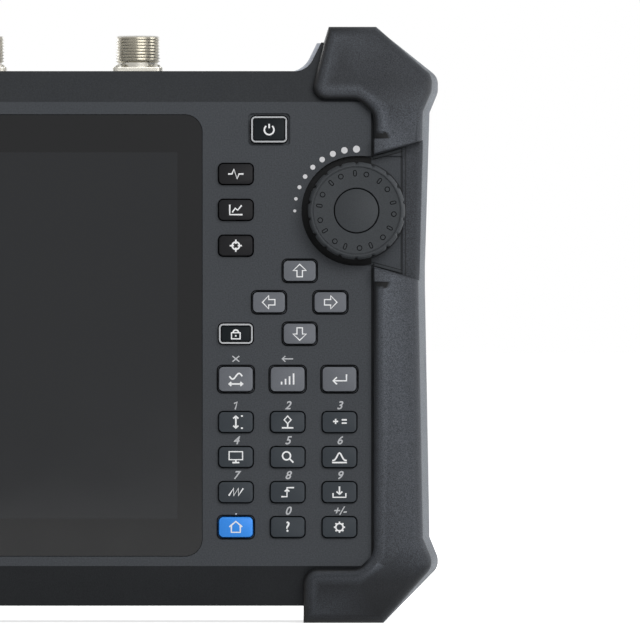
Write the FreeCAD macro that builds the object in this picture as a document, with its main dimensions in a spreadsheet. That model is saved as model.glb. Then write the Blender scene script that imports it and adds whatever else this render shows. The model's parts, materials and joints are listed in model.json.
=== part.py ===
"""Handheld antenna analyzer: case, bumpers, display, keypad, tuning knob, ports, battery, tilt stand.

The instrument stands on its two bumpers. +Z is up, the front panel faces -Y and +X is to the right
of the person who reads the screen. The origin is the centre of the foot print, on the table.
"""
import FreeCAD, Part
import Sketcher
import math
import os
import re

# name, millimetres
SIZES = [
    # overall
    ("overall_width", 301.5),
    ("overall_height", 209.0),
    ("overall_depth", 80.0),
    ("knob_proud", 9.0),
    ("bumper_proud", 4.5),
    ("bumper_clearance", 0.1),
    # case
    ("bumper_side_wall", 12.55),
    ("bumper_base", 6.0),
    ("bumper_cap", 5.5),
    ("case_drop", 15.6),
    ("case_corner", 8.0),
    ("ear_corner", 11.5),
    ("ear_width", 33.4),
    ("ear_lean", 4.9),
    ("ear_fillet", 7.0),
    ("rear_rim", 1.5),
    ("seam_depth", 21.0),
    ("front_wall", 4.0),
    ("side_wall", 3.0),
    ("back_wall", 3.0),
    ("upper_slope_height", 10.9),
    ("upper_slope_depth", 4.5),
    ("lower_slope_height", 14.1),
    ("lower_slope_depth", 7.5),
    ("rear_chamfer", 4.0),
    # bumpers
    ("bumper_lap", 10.1),
    ("panel_groove", 0.9),
    ("waist_inset", 4.55),
    ("shoulder_inset", 2.95),
    ("shoulder_height", 30.0),
    ("bulge_height", 22.8),
    ("arm_chamfer", 5.2),
    ("top_arm_reach", 21.3),
    ("top_arm_lean", 8.3),
    ("bottom_arm_reach", 24.6),
    ("top_chamfer_width", 21.75),
    ("top_chamfer_height", 17.4),
    ("bottom_chamfer", 19.2),
    ("bumper_fillet", 5.0),
    ("bumper_rear_chamfer", 10.0),
    ("bay_floor_depth", 2.0),
    ("bay_flare", 6.6),
    ("bay_lip", 0.25),
    # display
    ("glass_corner", 6.0),
    ("glass_thickness", 2.0),
    ("glass_gap", 0.2),
    ("glass_side_margin", 7.1),
    ("glass_bottom_margin", 3.5),
    ("glass_top_margin", 4.5),
    ("window_side_margin", 7.05),
    ("window_end_margin", 11.7),
    ("display_side_margin", 3.05),
    ("display_end_margin", 7.2),
    ("display_thickness", 8.0),
    ("gasket_thickness", 0.4),
    # keypad
    ("keypad_width", 59.2),
    ("keypad_height", 162.4),
    ("key_column_inset", 58.35),
    ("key_column_pitch", 18.13),
    ("number_row_rise", 13.6),
    ("number_row_pitch", 12.26),
    ("tall_row_rise", 65.4),
    ("lock_row_rise", 81.3),
    ("arrow_inset", 36.0),
    ("arrow_rise", 92.3),
    ("arrow_reach_across", 10.75),
    ("arrow_reach_up", 11.0),
    ("function_row_rise", 112.1),
    ("function_row_pitch", 12.55),
    ("power_inset", 46.7),
    ("power_rise", 152.8),
    ("power_recess_margin", 1.1),
    ("power_recess_depth", 1.0),
    ("key_width", 11.8),
    ("key_height", 7.0),
    ("tall_key_height", 8.5),
    ("arrow_key_width", 11.1),
    ("power_key_width", 12.5),
    ("power_key_height", 9.1),
    ("key_corner", 1.5),
    ("key_gap", 0.45),
    ("key_proud", 1.5),
    ("key_lip", 1.1),
    ("key_lip_thickness", 1.0),
    ("key_seat_gap", 0.15),
    ("key_travel", 0.8),
    ("key_stem_radius", 1.6),
    ("key_stem_length", 1.75),
    ("ring_border", 0.9),
    ("ring_depth", 2.0),
    ("ring_fit", 0.03),
    ("dome_radius", 3.0),
    ("dome_height", 1.2),
    ("dome_relief", 0.1),
    ("board_thickness", 1.6),
    # knob
    ("knob_inset", 16.14),
    ("knob_rise", 124.3),
    ("knob_radius", 17.0),
    ("knob_well_radius", 19.25),
    ("knob_running_gap", 0.5),
    ("knob_rim_chamfer", 1.6),
    ("knob_notch_radius", 0.7),
    ("knob_notch_count", 18.0),
    ("knob_back_radius", 9.0),
    ("knob_back_depth", 2.2),
    ("button_radius", 7.75),
    ("button_gap", 0.15),
    ("button_thickness", 2.6),
    ("button_recess", 0.2),
    ("button_travel", 0.8),
    ("shaft_radius", 3.0),
    ("shaft_fit", 0.02),
    ("shaft_running_gap", 0.05),
    ("shaft_cover", 1.0),
    ("shaft_insertion", 5.0),
    ("bush_radius", 4.5),
    ("bush_gap", 0.2),
    ("bush_proud", 1.0),
    ("encoder_width", 14.0),
    # inside
    ("frame_thickness", 2.0),
    ("assembly_gap", 0.1),
    ("frame_margin", 3.0),
    ("board_margin", 3.0),
    ("standoff_radius", 3.0),
    ("post_inset", 6.0),
    ("main_board_side_margin", 28.2),
    ("main_board_end_margin", 34.5),
    ("main_board_standoff", 10.0),
    ("shield_width", 120.0),
    ("shield_share", 0.4),
    ("shield_thickness", 6.0),
    ("shield_wall", 1.0),
    ("shield_rise", 4.0),
    ("speaker_inset", 42.2),
    ("speaker_drop", 35.4),
    ("speaker_radius", 14.0),
    ("speaker_thickness", 5.0),
    ("grille_hole_radius", 1.0),
    ("grille_pitch", 5.0),
    # fastening
    ("screw_inset", 46.2),
    ("screw_margin", 8.2),
    ("screw_radius", 1.5),
    ("screw_fit", 0.02),
    ("screw_head_radius", 2.75),
    ("screw_head_height", 2.0),
    ("screw_head_gap", 0.2),
    ("screw_grip", 8.0),
    ("post_radius", 4.0),
    ("seal_width", 1.2),
    ("seal_depth", 1.2),
    ("seal_inset", 0.9),
    ("seal_fit", 0.05),
    # ports
    ("jack_inset", 32.8),
    ("aerial_step", 36.0),
    ("port_step", 26.0),
    ("port_screw_step", 24.0),
    ("port_pitch", 55.0),
    ("port_depth", 12.0),
    ("port_thread_radius", 7.94),
    ("port_thread_length", 11.0),
    ("port_bore_radius", 4.5),
    ("port_bore_depth", 9.0),
    ("port_flange_width", 17.5),
    ("port_flange_thickness", 2.0),
    ("port_tail_radius", 6.0),
    ("port_tail_length", 14.0),
    ("port_hole_gap", 0.1),
    ("insulator_height", 5.0),
    ("contact_radius", 1.5),
    ("contact_height", 7.0),
    ("aerial_radius", 3.17),
    ("aerial_length", 8.0),
    ("aerial_flange_radius", 4.5),
    ("aerial_bore_radius", 2.3),
    ("aerial_tail_length", 6.0),
    ("aerial_flange_thickness", 1.5),
    ("aerial_bore_depth", 6.0),
    ("jack_spread", 8.5),
    ("dc_jack_radius", 5.5),
    ("dc_bore_radius", 3.0),
    ("dc_bore_depth", 9.0),
    ("dc_pin_radius", 1.0),
    ("jack_length", 14.0),
    ("usb_width", 9.0),
    ("usb_thickness", 3.2),
    ("usb_shell", 1.0),
    ("jack_hole_gap", 0.3),
    ("usb_bore_depth", 7.0),
    ("flap_width", 36.0),
    ("flap_reach", 15.0),
    ("flap_thickness", 2.6),
    ("flap_gap", 0.15),
    ("flap_lug_width", 3.0),
    ("hinge_play", 0.25),
    ("hinge_pin_radius", 0.7),
    ("hinge_pin_gap", 0.05),
    # battery
    ("battery_width", 112.0),
    ("battery_height", 78.0),
    ("battery_thickness", 20.0),
    ("battery_gap", 0.4),
    ("battery_bottom", 22.0),
    ("bay_wall", 2.5),
    ("door_margin", 7.0),
    ("door_thickness", 2.5),
    ("door_gap", 0.2),
    # tilt stand
    ("stand_width", 150.0),
    ("stand_bar", 10.0),
    ("stand_thickness", 4.0),
    ("stand_hinge_height", 128.0),
    ("stand_length", 114.0),
    ("stand_back_gap", 0.25),
    ("stand_lug_width", 4.0),
    ("stand_pin_radius", 1.0),
]

doc = FreeCAD.newDocument("AntennaAnalyzer")
sheet = doc.addObject("Spreadsheet::Sheet", "Sizes")
for row, (alias, value) in enumerate(SIZES, start=1):
    sheet.set(f"A{row}", alias)
    sheet.set(f"B{row}", str(value))
    sheet.setAlias(f"B{row}", alias)
doc.recompute()

# places that several pieces share, as expressions of the sizes
ZERO = "0"
PANEL_Y = "(-overall_depth / 2 + knob_proud)"
BUMPER_FRONT_Y = f"({PANEL_Y} - bumper_proud)"
REAR_Y = "(overall_depth / 2)"
BACK_Y = f"({REAR_Y} - bumper_proud)"
SEAM_Y = f"({PANEL_Y} + seam_depth)"
WALL_Y = f"({PANEL_Y} + front_wall)"
DISPLAY_Y = f"({WALL_Y} + gasket_thickness)"
DISPLAY_BACK_Y = f"({DISPLAY_Y} + display_thickness)"
KEY_BACK_Y = f"({WALL_Y} + key_seat_gap + key_lip_thickness + key_stem_length)"
KEYPAD_Y = f"({KEY_BACK_Y} + key_travel + dome_relief + dome_height)"
FRAME_Y = f"({DISPLAY_BACK_Y} + assembly_gap)"
FRAME_BACK_Y = f"({FRAME_Y} + frame_thickness)"
MAIN_BOARD_Y = f"({FRAME_BACK_Y} + main_board_standoff)"
BAY_FLOOR_Y = f"({PANEL_Y} + bay_floor_depth)"

HALF_WIDTH = "(overall_width / 2)"
CASE_HALF = f"({HALF_WIDTH} - bumper_side_wall)"
CASE_BOTTOM = "bumper_base"
CASE_TOP = "(overall_height - case_drop)"
EAR_TOP = "(overall_height - bumper_cap)"
EAR_FOOT_X = f"({CASE_HALF} - ear_width)"
PLATEAU_TOP = f"({CASE_TOP} - upper_slope_height)"
PLATEAU_BOTTOM = f"({CASE_BOTTOM} + lower_slope_height)"
BUMPER_X = f"({CASE_HALF} - bumper_lap)"
PLATEAU_HALF = f"({BUMPER_X} - panel_groove)"
KNOB_FRONT_Y = "(-overall_depth / 2)"
KNOB_BACK_Y = f"({BAY_FLOOR_Y} - knob_running_gap)"
BUTTON_SEAT = "(button_recess + button_thickness + button_travel + button_gap)"
SHAFT_Y = f"({KNOB_FRONT_Y} + {BUTTON_SEAT} + shaft_cover)"
BUSH_Y = f"({BAY_FLOOR_Y} - bush_proud)"
GLASS_WIDTH = f"(2 * {PLATEAU_HALF} - keypad_width - glass_side_margin)"
GLASS_HEIGHT = f"({PLATEAU_TOP} - {PLATEAU_BOTTOM} - glass_bottom_margin - glass_top_margin)"
GLASS_X = f"({GLASS_WIDTH} / 2 - {PLATEAU_HALF} + glass_side_margin)"
GLASS_Z = f"({PLATEAU_BOTTOM} + glass_bottom_margin + {GLASS_HEIGHT} / 2)"
WINDOW = (f"({GLASS_WIDTH} - 2 * window_side_margin)", f"({GLASS_HEIGHT} - 2 * window_end_margin)")
DISPLAY = (f"({GLASS_WIDTH} - 2 * display_side_margin)", f"({GLASS_HEIGHT} - 2 * display_end_margin)")
KEY_X = f"({CASE_HALF} - key_column_inset)"
KNOB_X = f"({CASE_HALF} - knob_inset)"
POWER_X = f"({CASE_HALF} - power_inset)"
SCREW_X = f"({CASE_HALF} - screw_inset)"
WALL_TOP_Z = f"({CASE_TOP} - side_wall)"
SCREW_TOP_Z = f"({CASE_TOP} - screw_margin)"
SCREW_BOTTOM_Z = f"({CASE_BOTTOM} + screw_margin)"
BATTERY_Z = "(battery_bottom + battery_height / 2)"
DOOR_HALF = "(battery_width / 2 + battery_gap + door_margin)"
DOOR_HALF_Z = "(battery_height / 2 + battery_gap + door_margin)"
DOOR_SCREW_X = "(battery_width / 2 + battery_gap + door_margin / 2)"
JACK_X = f"(-1 * ({EAR_FOOT_X} - jack_inset))"
DC_X = f"({JACK_X} - jack_spread)"
USB_X = f"({JACK_X} + jack_spread)"
AERIAL_X = f"({JACK_X} + aerial_step)"
LEFT_PORT_X = f"({AERIAL_X} + port_step)"
MAIN_BOARD = (f"(2 * ({CASE_HALF} - main_board_side_margin))", "(overall_height - 2 * main_board_end_margin)")
SHIELD_HEIGHT = f"(shield_share * {MAIN_BOARD[1]})"
SPEAKER_X = f"(-1 * ({CASE_HALF} - speaker_inset))"
SPEAKER_Z = f"({CASE_TOP} - speaker_drop)"
FLAP_HINGE_Y = "(port_depth + flap_reach / 2)"
FLAP_HINGE_Z = f"({CASE_TOP} + flap_gap + flap_thickness / 2)"
STAND_HINGE_Y = f"({BACK_Y} + stand_back_gap + stand_thickness / 2)"
STAND_ARM_X = "(stand_width / 2 - stand_bar / 2)"


def row(rise):
    """Height on the keypad, which stretches with the flat of the panel."""
    return f"({PLATEAU_BOTTOM} + ({rise}) * ({PLATEAU_TOP} - {PLATEAU_BOTTOM}) / keypad_height)"


KNOB_Z = row("knob_rise")
POWER_Z = row("power_rise")


# ---------------------------------------------------------------- helpers
def rule(text):
    """Name the sheet in front of every size in an expression."""
    return re.sub(r"[a-z][a-z_]+", r"Sizes.\g<0>", text)


def bind(item, rules):
    for path, text in rules.items():
        item.setExpression(path, rule(text))


def origin_plane(body, role):
    """One of the body's own origin planes."""
    return next(plane for plane in body.Origin.OriginFeatures if plane.Role == role)


def new_body(label, place=None):
    """A PartDesign body, placed at three expressions."""
    body = doc.addObject("PartDesign::Body", label)
    body.Label = label
    for axis, text in zip("xyz", place or ()):
        body.setExpression(f"Placement.Base.{axis}", rule(text))
    return body


def new_sketch(body, plane, level=None):
    """A sketch on an origin plane of the body, at a level along X, Y or Z."""
    sketch = body.newObject("Sketcher::SketchObject", "outline")
    sketch.AttachmentSupport = [(origin_plane(body, plane), "")]
    sketch.MapMode = "FlatFace"
    if level:
        sign = "-" if plane == "XZ_Plane" else ""
        sketch.setExpression("AttachmentOffset.Base.z", rule(f"{sign}({level})"))
    return sketch


def fix_point(sketch, geometry, point, across, up):
    """Hold one point of a sketch at two expressions from the sketch's origin."""
    for kind, text in (("DistanceX", across), ("DistanceY", up)):
        number = sketch.addConstraint(Sketcher.Constraint(kind, -1, 1, geometry, point, 1.0))
        sketch.setExpression(f"Constraints[{number}]", rule(text))


def add_loop(sketch, points, spread=100):
    """Closed straight lines whose corners are pairs of expressions."""
    count = len(points)
    first = sketch.GeometryCount
    turns = [2 * math.pi * index / count for index in range(count)]
    corners = [FreeCAD.Vector(spread * math.cos(turn), spread * math.sin(turn), 0) for turn in turns]
    sides = zip(corners, corners[1:] + corners[:1])
    sketch.addGeometry([Part.LineSegment(start, end) for start, end in sides], False)
    for side in range(count):
        after = first + (side + 1) % count
        sketch.addConstraint(Sketcher.Constraint("Coincident", first + side, 2, after, 1))
    for side, (across, up) in enumerate(points, start=first):
        fix_point(sketch, side, 1, across, up)


def polygon(body, plane, level, *loops):
    """A sketch of one closed outline, or of an outline with others inside it."""
    sketch = new_sketch(body, plane, level)
    for number, points in enumerate(loops, start=1):
        add_loop(sketch, points, 100 / number)
    return sketch


def corners_of(across, up, width, height):
    """The four corners of a rectangle round a centre."""
    low, high = f"{across} - ({width}) / 2", f"{across} + ({width}) / 2"
    base, top = f"{up} - ({height}) / 2", f"{up} + ({height}) / 2"
    return [(low, base), (high, base), (high, top), (low, top)]


def rectangle(body, level, across, up, width, height, plane="XZ_Plane"):
    return polygon(body, plane, level, corners_of(across, up, width, height))


def circles(body, level, places, radius, plane="XZ_Plane"):
    """Circles of one radius about several centres."""
    sketch = new_sketch(body, plane, level)
    for number, (across, up) in enumerate(places):
        start = FreeCAD.Vector(10 * number, 1, 0)
        sketch.addGeometry(Part.Circle(start, FreeCAD.Vector(0, 0, 1), 1), False)
        fix_point(sketch, number, 3, across, up)
        size = sketch.addConstraint(Sketcher.Constraint("Radius", number, 1.0))
        sketch.setExpression(f"Constraints[{size}]", rule(radius))
    return sketch


def circle(body, level, across, up, radius, plane="XZ_Plane"):
    return circles(body, level, [(across, up)], radius, plane)


def pad(body, sketch, length, reverse=True, both=False):
    """Add material from a sketch; reversed pads on the XZ plane grow towards the back."""
    feature = body.newObject("PartDesign::Pad", "pad")
    feature.Profile = sketch
    feature.Reversed = reverse
    feature.Midplane = both
    bind(feature, {"Length": length})
    return feature


def pocket(body, sketch, length, reverse=False, both=False):
    """Remove material; pockets on the XZ plane cut towards the back unless reversed."""
    feature = body.newObject("PartDesign::Pocket", "pocket")
    feature.Profile = sketch
    feature.Reversed = reverse
    feature.Midplane = both
    bind(feature, {"Length": length})
    return feature


def edges_along(feature, axis, corners):
    """Names of the straight edges along an axis that pass through the given corners of a section."""
    names = []
    for number, edge in enumerate(feature.Shape.Edges, start=1):
        start, end = edge.Vertexes[0].Point, edge.Vertexes[-1].Point
        run = end - start
        if run.Length < 1e-6 or abs(run[axis]) < 0.999 * run.Length:
            continue
        section = [start[index] for index in range(3) if index != axis]
        if any(math.dist(section, corner) < 1e-3 for corner in corners):
            names.append(f"Edge{number}")
    return names


def round_corners(body, sketch, numbers, radius, axis=1):
    """Fillet the long edges that rise from some corners of a sketch."""
    doc.recompute()
    starts = [sketch.Geometry[number].StartPoint for number in numbers]
    base = body.Tip
    names = edges_along(base, axis, [(point.x, point.y) for point in starts])
    feature = body.newObject("PartDesign::Fillet", "fillet")
    feature.Base = (base, names)
    bind(feature, {"Radius": radius})
    return feature


def chamfer_circles(body, level, radius, size):
    """Break the round edges of one radius that lie at one level along Y."""
    doc.recompute()
    base = body.Tip
    names = []
    for number, edge in enumerate(base.Shape.Edges, start=1):
        round_edge = isinstance(edge.Curve, Part.Circle) and abs(edge.Curve.Radius - radius) < 1e-3
        if round_edge and abs(edge.Curve.Center.y - level) < 1e-3:
            names.append(f"Edge{number}")
    feature = body.newObject("PartDesign::Chamfer", "chamfer")
    feature.Base = (base, names)
    bind(feature, {"Size": size})
    return feature


def box(label, low, size):
    """A Part box from its lowest corner and its three sizes."""
    item = doc.addObject("Part::Box", label)
    item.Label = label
    paths = ("Placement.Base.x", "Placement.Base.y", "Placement.Base.z", "Length", "Width", "Height")
    bind(item, dict(zip(paths, (*low, *size))))
    return item


# the turn that lays a cylinder along each axis: an axis vector and degrees
ROD_TURNS = {
    "x": (FreeCAD.Vector(0, 1, 0), 90),
    "y": (FreeCAD.Vector(1, 0, 0), -90),
    "z": (FreeCAD.Vector(0, 0, 1), 0),
}


def rod(label, start, radius, length, axis="z"):
    """A Part cylinder that starts at a point and runs along +X, +Y or +Z."""
    item = doc.addObject("Part::Cylinder", label)
    item.Label = label
    item.Placement.Rotation = FreeCAD.Rotation(*ROD_TURNS[axis])
    paths = ("Placement.Base.x", "Placement.Base.y", "Placement.Base.z", "Radius", "Height")
    bind(item, dict(zip(paths, (*start, radius, length))))
    return item


def fuse(label, pieces):
    item = doc.addObject("Part::MultiFuse", label)
    item.Label = label
    item.Shapes = pieces
    return item


def cut(label, base, tools):
    """One solid less one or more others."""
    item = doc.addObject("Part::Cut", label)
    item.Label = label
    item.Base = base
    item.Tool = tools[0] if len(tools) == 1 else fuse(f"{label}_tools", tools)
    return item


def group(label, pieces):
    """Separate solids that share a node."""
    item = doc.addObject("Part::Compound", label)
    item.Label = label
    item.Links = pieces
    return item


nodes = {}


def node(item, label=None):
    """Keep an object as a piece of the product."""
    nodes[label or item.Label] = item
    return item


# ---------------------------------------------------------------- case
def mirrored(half):
    """A closed outline from its right half, bottom to top."""
    return half + [(f"-({across})", up) for across, up in reversed(half)]


def case_outline(grow, rim):
    """Front view of the case: straight sides, a low top edge and an ear at each top corner."""
    return mirrored([
        (f"{CASE_HALF} - case_corner", f"{CASE_BOTTOM} - {grow}"),
        (f"{CASE_HALF} + {grow}", f"{CASE_BOTTOM} + case_corner"),
        (f"{CASE_HALF} + {grow}", f"{EAR_TOP} - ear_corner"),
        (f"{CASE_HALF} - ear_corner", f"{EAR_TOP} + {grow}"),
        (f"{EAR_FOOT_X} + ear_lean - {rim} - {grow}", f"{EAR_TOP} + {grow}"),
        (f"{EAR_FOOT_X} - {rim} - {grow}", f"{CASE_TOP} + {grow}"),
    ])


def inner_outline(inset, ends=ZERO):
    """The case outline below its ears, moved inwards, and further in at the top and bottom ends."""
    return mirrored([
        (f"{CASE_HALF} - case_corner - 0.414 * ({inset})", f"{CASE_BOTTOM} + {inset} + {ends}"),
        (f"{CASE_HALF} - ({inset})", f"{CASE_BOTTOM} + case_corner + 0.414 * ({inset}) + {ends}"),
        (f"{CASE_HALF} - ({inset})", f"{CASE_TOP} - ({inset}) - {ends}"),
    ])


def slope_cut(body, front, top, bottom):
    """Cut the two slopes above and below a flat front, right across the width."""
    rise = f"(overall_height - {top})"
    fall = f"({bottom} + 1)"
    top_back = f"{front} + {rise} * upper_slope_depth / upper_slope_height"
    bottom_back = f"{front} + {fall} * lower_slope_depth / lower_slope_height"
    ahead, floor = f"{front} - 1", f"{bottom} - {fall}"
    above = [(front, top), (top_back, "overall_height"), (ahead, "overall_height"), (ahead, top)]
    below = [(front, bottom), (bottom_back, floor), (ahead, floor), (ahead, bottom)]
    for section in (above, below):
        pocket(body, polygon(body, "YZ_Plane", None, section), "overall_width + 10", both=True)


def rear_edge_cut(body, back, top, bottom, reach):
    """Cut a 45 degree chamfer along the back, above and below."""
    for edge, sign in ((top, "+"), (bottom, "-")):
        inward = "-" if sign == "+" else "+"
        start, behind = f"{back} - {reach}", f"{back} + 1"
        corner, outside = f"{edge} {inward} {reach}", f"{edge} {sign} overall_height / 4"
        section = [(start, edge), (back, corner), (behind, corner), (behind, outside), (start, outside)]
        pocket(body, polygon(body, "YZ_Plane", None, section), "overall_width + 10", both=True)


def case_block(body, grow, back):
    """The front of the case as a full block: flat plateau, slopes, and a ledge under each bumper."""
    front = f"({PANEL_Y} - {grow})"
    outline = polygon(body, "XZ_Plane", front, case_outline(grow, ZERO))
    pad(body, outline, f"{back} - {front}")
    slope_cut(body, front, PLATEAU_TOP, PLATEAU_BOTTOM)
    ledge_width = f"({HALF_WIDTH} - {PLATEAU_HALF})"
    for side in ("", "-"):
        across = f"{side}({PLATEAU_HALF} + {ledge_width} / 2)"
        ledge = rectangle(body, front, across, "overall_height / 2", ledge_width, "overall_height + 2")
        pocket(body, ledge, "panel_groove")
    return outline


def key_places():
    """Name, place across, height, cap width and cap height of every key."""
    column = [KEY_X, f"({KEY_X} + key_column_pitch)", f"({KEY_X} + 2 * key_column_pitch)"]
    numbers = (("key_point", "key_zero", "key_sign"), ("key_seven", "key_eight", "key_nine"),
               ("key_four", "key_five", "key_six"), ("key_one", "key_two", "key_three"))
    places = [("key_power", POWER_X, POWER_Z, "power_key_width", "power_key_height"),
              ("key_lock", column[0], row("lock_row_rise"), "key_width", "key_height")]
    for step, name in enumerate(("key_function_low", "key_function_middle", "key_function_high")):
        height = row(f"function_row_rise + {step} * function_row_pitch")
        places.append((name, column[0], height, "key_width", "key_height"))
    for name, across, up in (("key_up", 0, 1), ("key_left", -1, 0), ("key_right", 1, 0), ("key_down", 0, -1)):
        place = (f"({CASE_HALF} - arrow_inset + {across} * arrow_reach_across)",
                 row(f"arrow_rise + {up} * arrow_reach_up"))
        places.append((name, *place, "arrow_key_width", "key_height"))
    for name, across in zip(("key_escape", "key_back", "key_enter"), column):
        places.append((name, across, row("tall_row_rise"), "key_width", "tall_key_height"))
    for step, names in enumerate(numbers):
        for name, across in zip(names, column):
            height = row(f"number_row_rise + {step} * number_row_pitch")
            places.append((name, across, height, "key_width", "key_height"))
    return places


KEYS = key_places()
RINGED_KEYS = ("key_power", "key_lock")
SCREWS = [(f"-{SCREW_X}", SCREW_BOTTOM_Z), (SCREW_X, SCREW_BOTTOM_Z), (f"-{SCREW_X}", SCREW_TOP_Z),
          (f"({LEFT_PORT_X} + port_screw_step)", SCREW_TOP_Z), (SCREW_X, SCREW_TOP_Z)]
PORTS = [f"({LEFT_PORT_X} + port_pitch)", LEFT_PORT_X]


def key_opening(label, across, up, width, height):
    """The hole in the panel for one key: its cap with the gap all round."""
    body = new_body(f"{label}_opening", (across, PANEL_Y, up))
    opening = (f"{width} + 2 * key_gap", f"{height} + 2 * key_gap")
    outline = rectangle(body, "-1 * key_gap", ZERO, ZERO, *opening)
    pad(body, outline, "front_wall + 2 * key_gap")
    round_corners(body, outline, range(4), "key_corner + key_gap")
    return body


def front_shell():
    """Front half of the case, open at the back, with the window, key openings and knob well."""
    body = new_body("front_shell_blank")
    outline = case_block(body, ZERO, SEAM_Y)
    round_corners(body, outline, (5, 6), "ear_fillet")
    # the space for the display and keypad, then the shallower space behind the slopes
    middle = f"({PLATEAU_TOP} + {PLATEAU_BOTTOM}) / 2"
    deep = rectangle(body, SEAM_Y, ZERO, middle, f"2 * ({CASE_HALF} - side_wall)",
                     f"{PLATEAU_TOP} - {PLATEAU_BOTTOM} - 2 * side_wall")
    pocket(body, deep, f"{SEAM_Y} - {WALL_Y}", reverse=True)
    wide = polygon(body, "XZ_Plane", SEAM_Y, inner_outline("side_wall"))
    pocket(body, wide, "seam_depth / 2", reverse=True)
    # glass seat and window
    seat_size = (f"{GLASS_WIDTH} + 2 * glass_gap", f"{GLASS_HEIGHT} + 2 * glass_gap")
    seat = rectangle(body, PANEL_Y, GLASS_X, GLASS_Z, *seat_size)
    pocket(body, seat, "glass_thickness + glass_gap")
    round_corners(body, seat, range(4), "glass_corner + glass_gap")
    window = rectangle(body, PANEL_Y, GLASS_X, GLASS_Z, *WINDOW)
    pocket(body, window, "front_wall + 1")
    # knob well, running out into the bay beside it
    pocket(body, circle(body, PANEL_Y, KNOB_X, KNOB_Z, "knob_well_radius"), "bay_floor_depth")
    bay = rectangle(body, PANEL_Y, f"({KNOB_X} + knob_well_radius)", KNOB_Z, "2 * knob_well_radius",
                    "2 * knob_well_radius")
    pocket(body, bay, "bay_floor_depth")
    pocket(body, circle(body, PANEL_Y, KNOB_X, KNOB_Z, "bush_radius + bush_gap"), "front_wall + 1")
    recess = rectangle(body, PANEL_Y, POWER_X, POWER_Z, "power_key_width + 2 * power_recess_margin",
                       "power_key_height + 2 * power_recess_margin")
    pocket(body, recess, "power_recess_depth")
    # posts that take the case screws
    post_level = f"({SEAM_Y} - seam_depth / 2 - 1)"
    pad(body, circles(body, post_level, SCREWS, "post_radius"), f"{SEAM_Y} - {post_level}")
    holes = circles(body, SEAM_Y, SCREWS, "screw_radius + screw_fit")
    pocket(body, holes, "screw_grip + screw_head_gap", reverse=True)
    node(cut("front_shell", body, [key_opening(*place) for place in KEYS]))


def lug_places():
    """Centres of the lugs beside each hinged barrel: stand arms, then flap."""
    stand = "(stand_bar / 2 + hinge_play + stand_lug_width / 2)"
    arms = [f"({sign}{STAND_ARM_X} {side} {stand})" for sign in ("", "-") for side in "+-"]
    flap = [f"({JACK_X} {side} (flap_width / 2 + hinge_play + flap_lug_width / 2))" for side in "+-"]
    return arms, flap


def hinge_lugs(body):
    """Lugs on the back for the stand and on the top for the port flap, drilled for their pins."""
    arms, flap = lug_places()
    lugs = [corners_of(across, "stand_hinge_height", "stand_lug_width", "stand_thickness") for across in arms]
    pad(body, polygon(body, "XZ_Plane", f"{BACK_Y} - 1", *lugs), "1 + stand_back_gap + stand_thickness")
    lugs = [corners_of(across, FLAP_HINGE_Y, "flap_lug_width", "flap_thickness") for across in flap]
    outline = polygon(body, "XY_Plane", f"{CASE_TOP} - 1", *lugs)
    pad(body, outline, "1 + flap_gap + flap_thickness", reverse=False)
    stand_pin = "stand_pin_radius + shaft_fit"
    stand_hole = circle(body, None, STAND_HINGE_Y, "stand_hinge_height", stand_pin, "YZ_Plane")
    pocket(body, stand_hole, "stand_width + 20", both=True)
    level = f"({JACK_X} - flap_width / 2 - hinge_play - flap_lug_width - 1)"
    flap_hole = circle(body, level, FLAP_HINGE_Y, FLAP_HINGE_Z, "hinge_pin_radius + shaft_fit", "YZ_Plane")
    pocket(body, flap_hole, "flap_width + 2 * (hinge_play + flap_lug_width) + 2", reverse=True)


def battery_bay(body):
    """A box inside the back, hollowed from outside, with a seat for the door."""
    bay_depth = "(door_thickness + battery_gap + battery_thickness + battery_gap)"
    floor = f"({BACK_Y} - {bay_depth} - bay_wall)"
    walls = rectangle(body, floor, ZERO, BATTERY_Z, f"2 * ({DOOR_HALF} + door_gap + bay_wall)",
                      f"2 * ({DOOR_HALF_Z} + door_gap + bay_wall)")
    pad(body, walls, f"{BACK_Y} - {floor}")
    door = rectangle(body, BACK_Y, ZERO, BATTERY_Z, f"2 * ({DOOR_HALF} + door_gap)",
                     f"2 * ({DOOR_HALF_Z} + door_gap)")
    pocket(body, door, "door_thickness", reverse=True)
    hollow = rectangle(body, BACK_Y, ZERO, BATTERY_Z, "battery_width + 2 * battery_gap",
                       "battery_height + 2 * battery_gap")
    pocket(body, hollow, bay_depth, reverse=True)
    places = [(DOOR_SCREW_X, BATTERY_Z), (f"-{DOOR_SCREW_X}", BATTERY_Z)]
    holes = circles(body, f"{BACK_Y} - door_thickness", places, "screw_radius + screw_fit")
    pocket(body, holes, "screw_grip", reverse=True)


def port_holes(body):
    """Holes in the top wall for the test ports, the aerial port and the jacks below the flap."""
    tails = [(across, "port_depth") for across in PORTS]
    holes = circles(body, CASE_TOP, tails, "port_tail_radius + port_hole_gap", "XY_Plane")
    pocket(body, holes, "side_wall + 1")
    single = ((AERIAL_X, "aerial_radius + port_hole_gap"), (DC_X, "dc_bore_radius + jack_hole_gap"))
    for across, radius in single:
        pocket(body, circle(body, CASE_TOP, across, "port_depth", radius, "XY_Plane"), "side_wall + 1")
    slot = rectangle(body, CASE_TOP, USB_X, "port_depth", "usb_width + 2 * jack_hole_gap",
                     "usb_thickness + 2 * jack_hole_gap", "XY_Plane")
    pocket(body, slot, "side_wall + 1")


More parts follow.
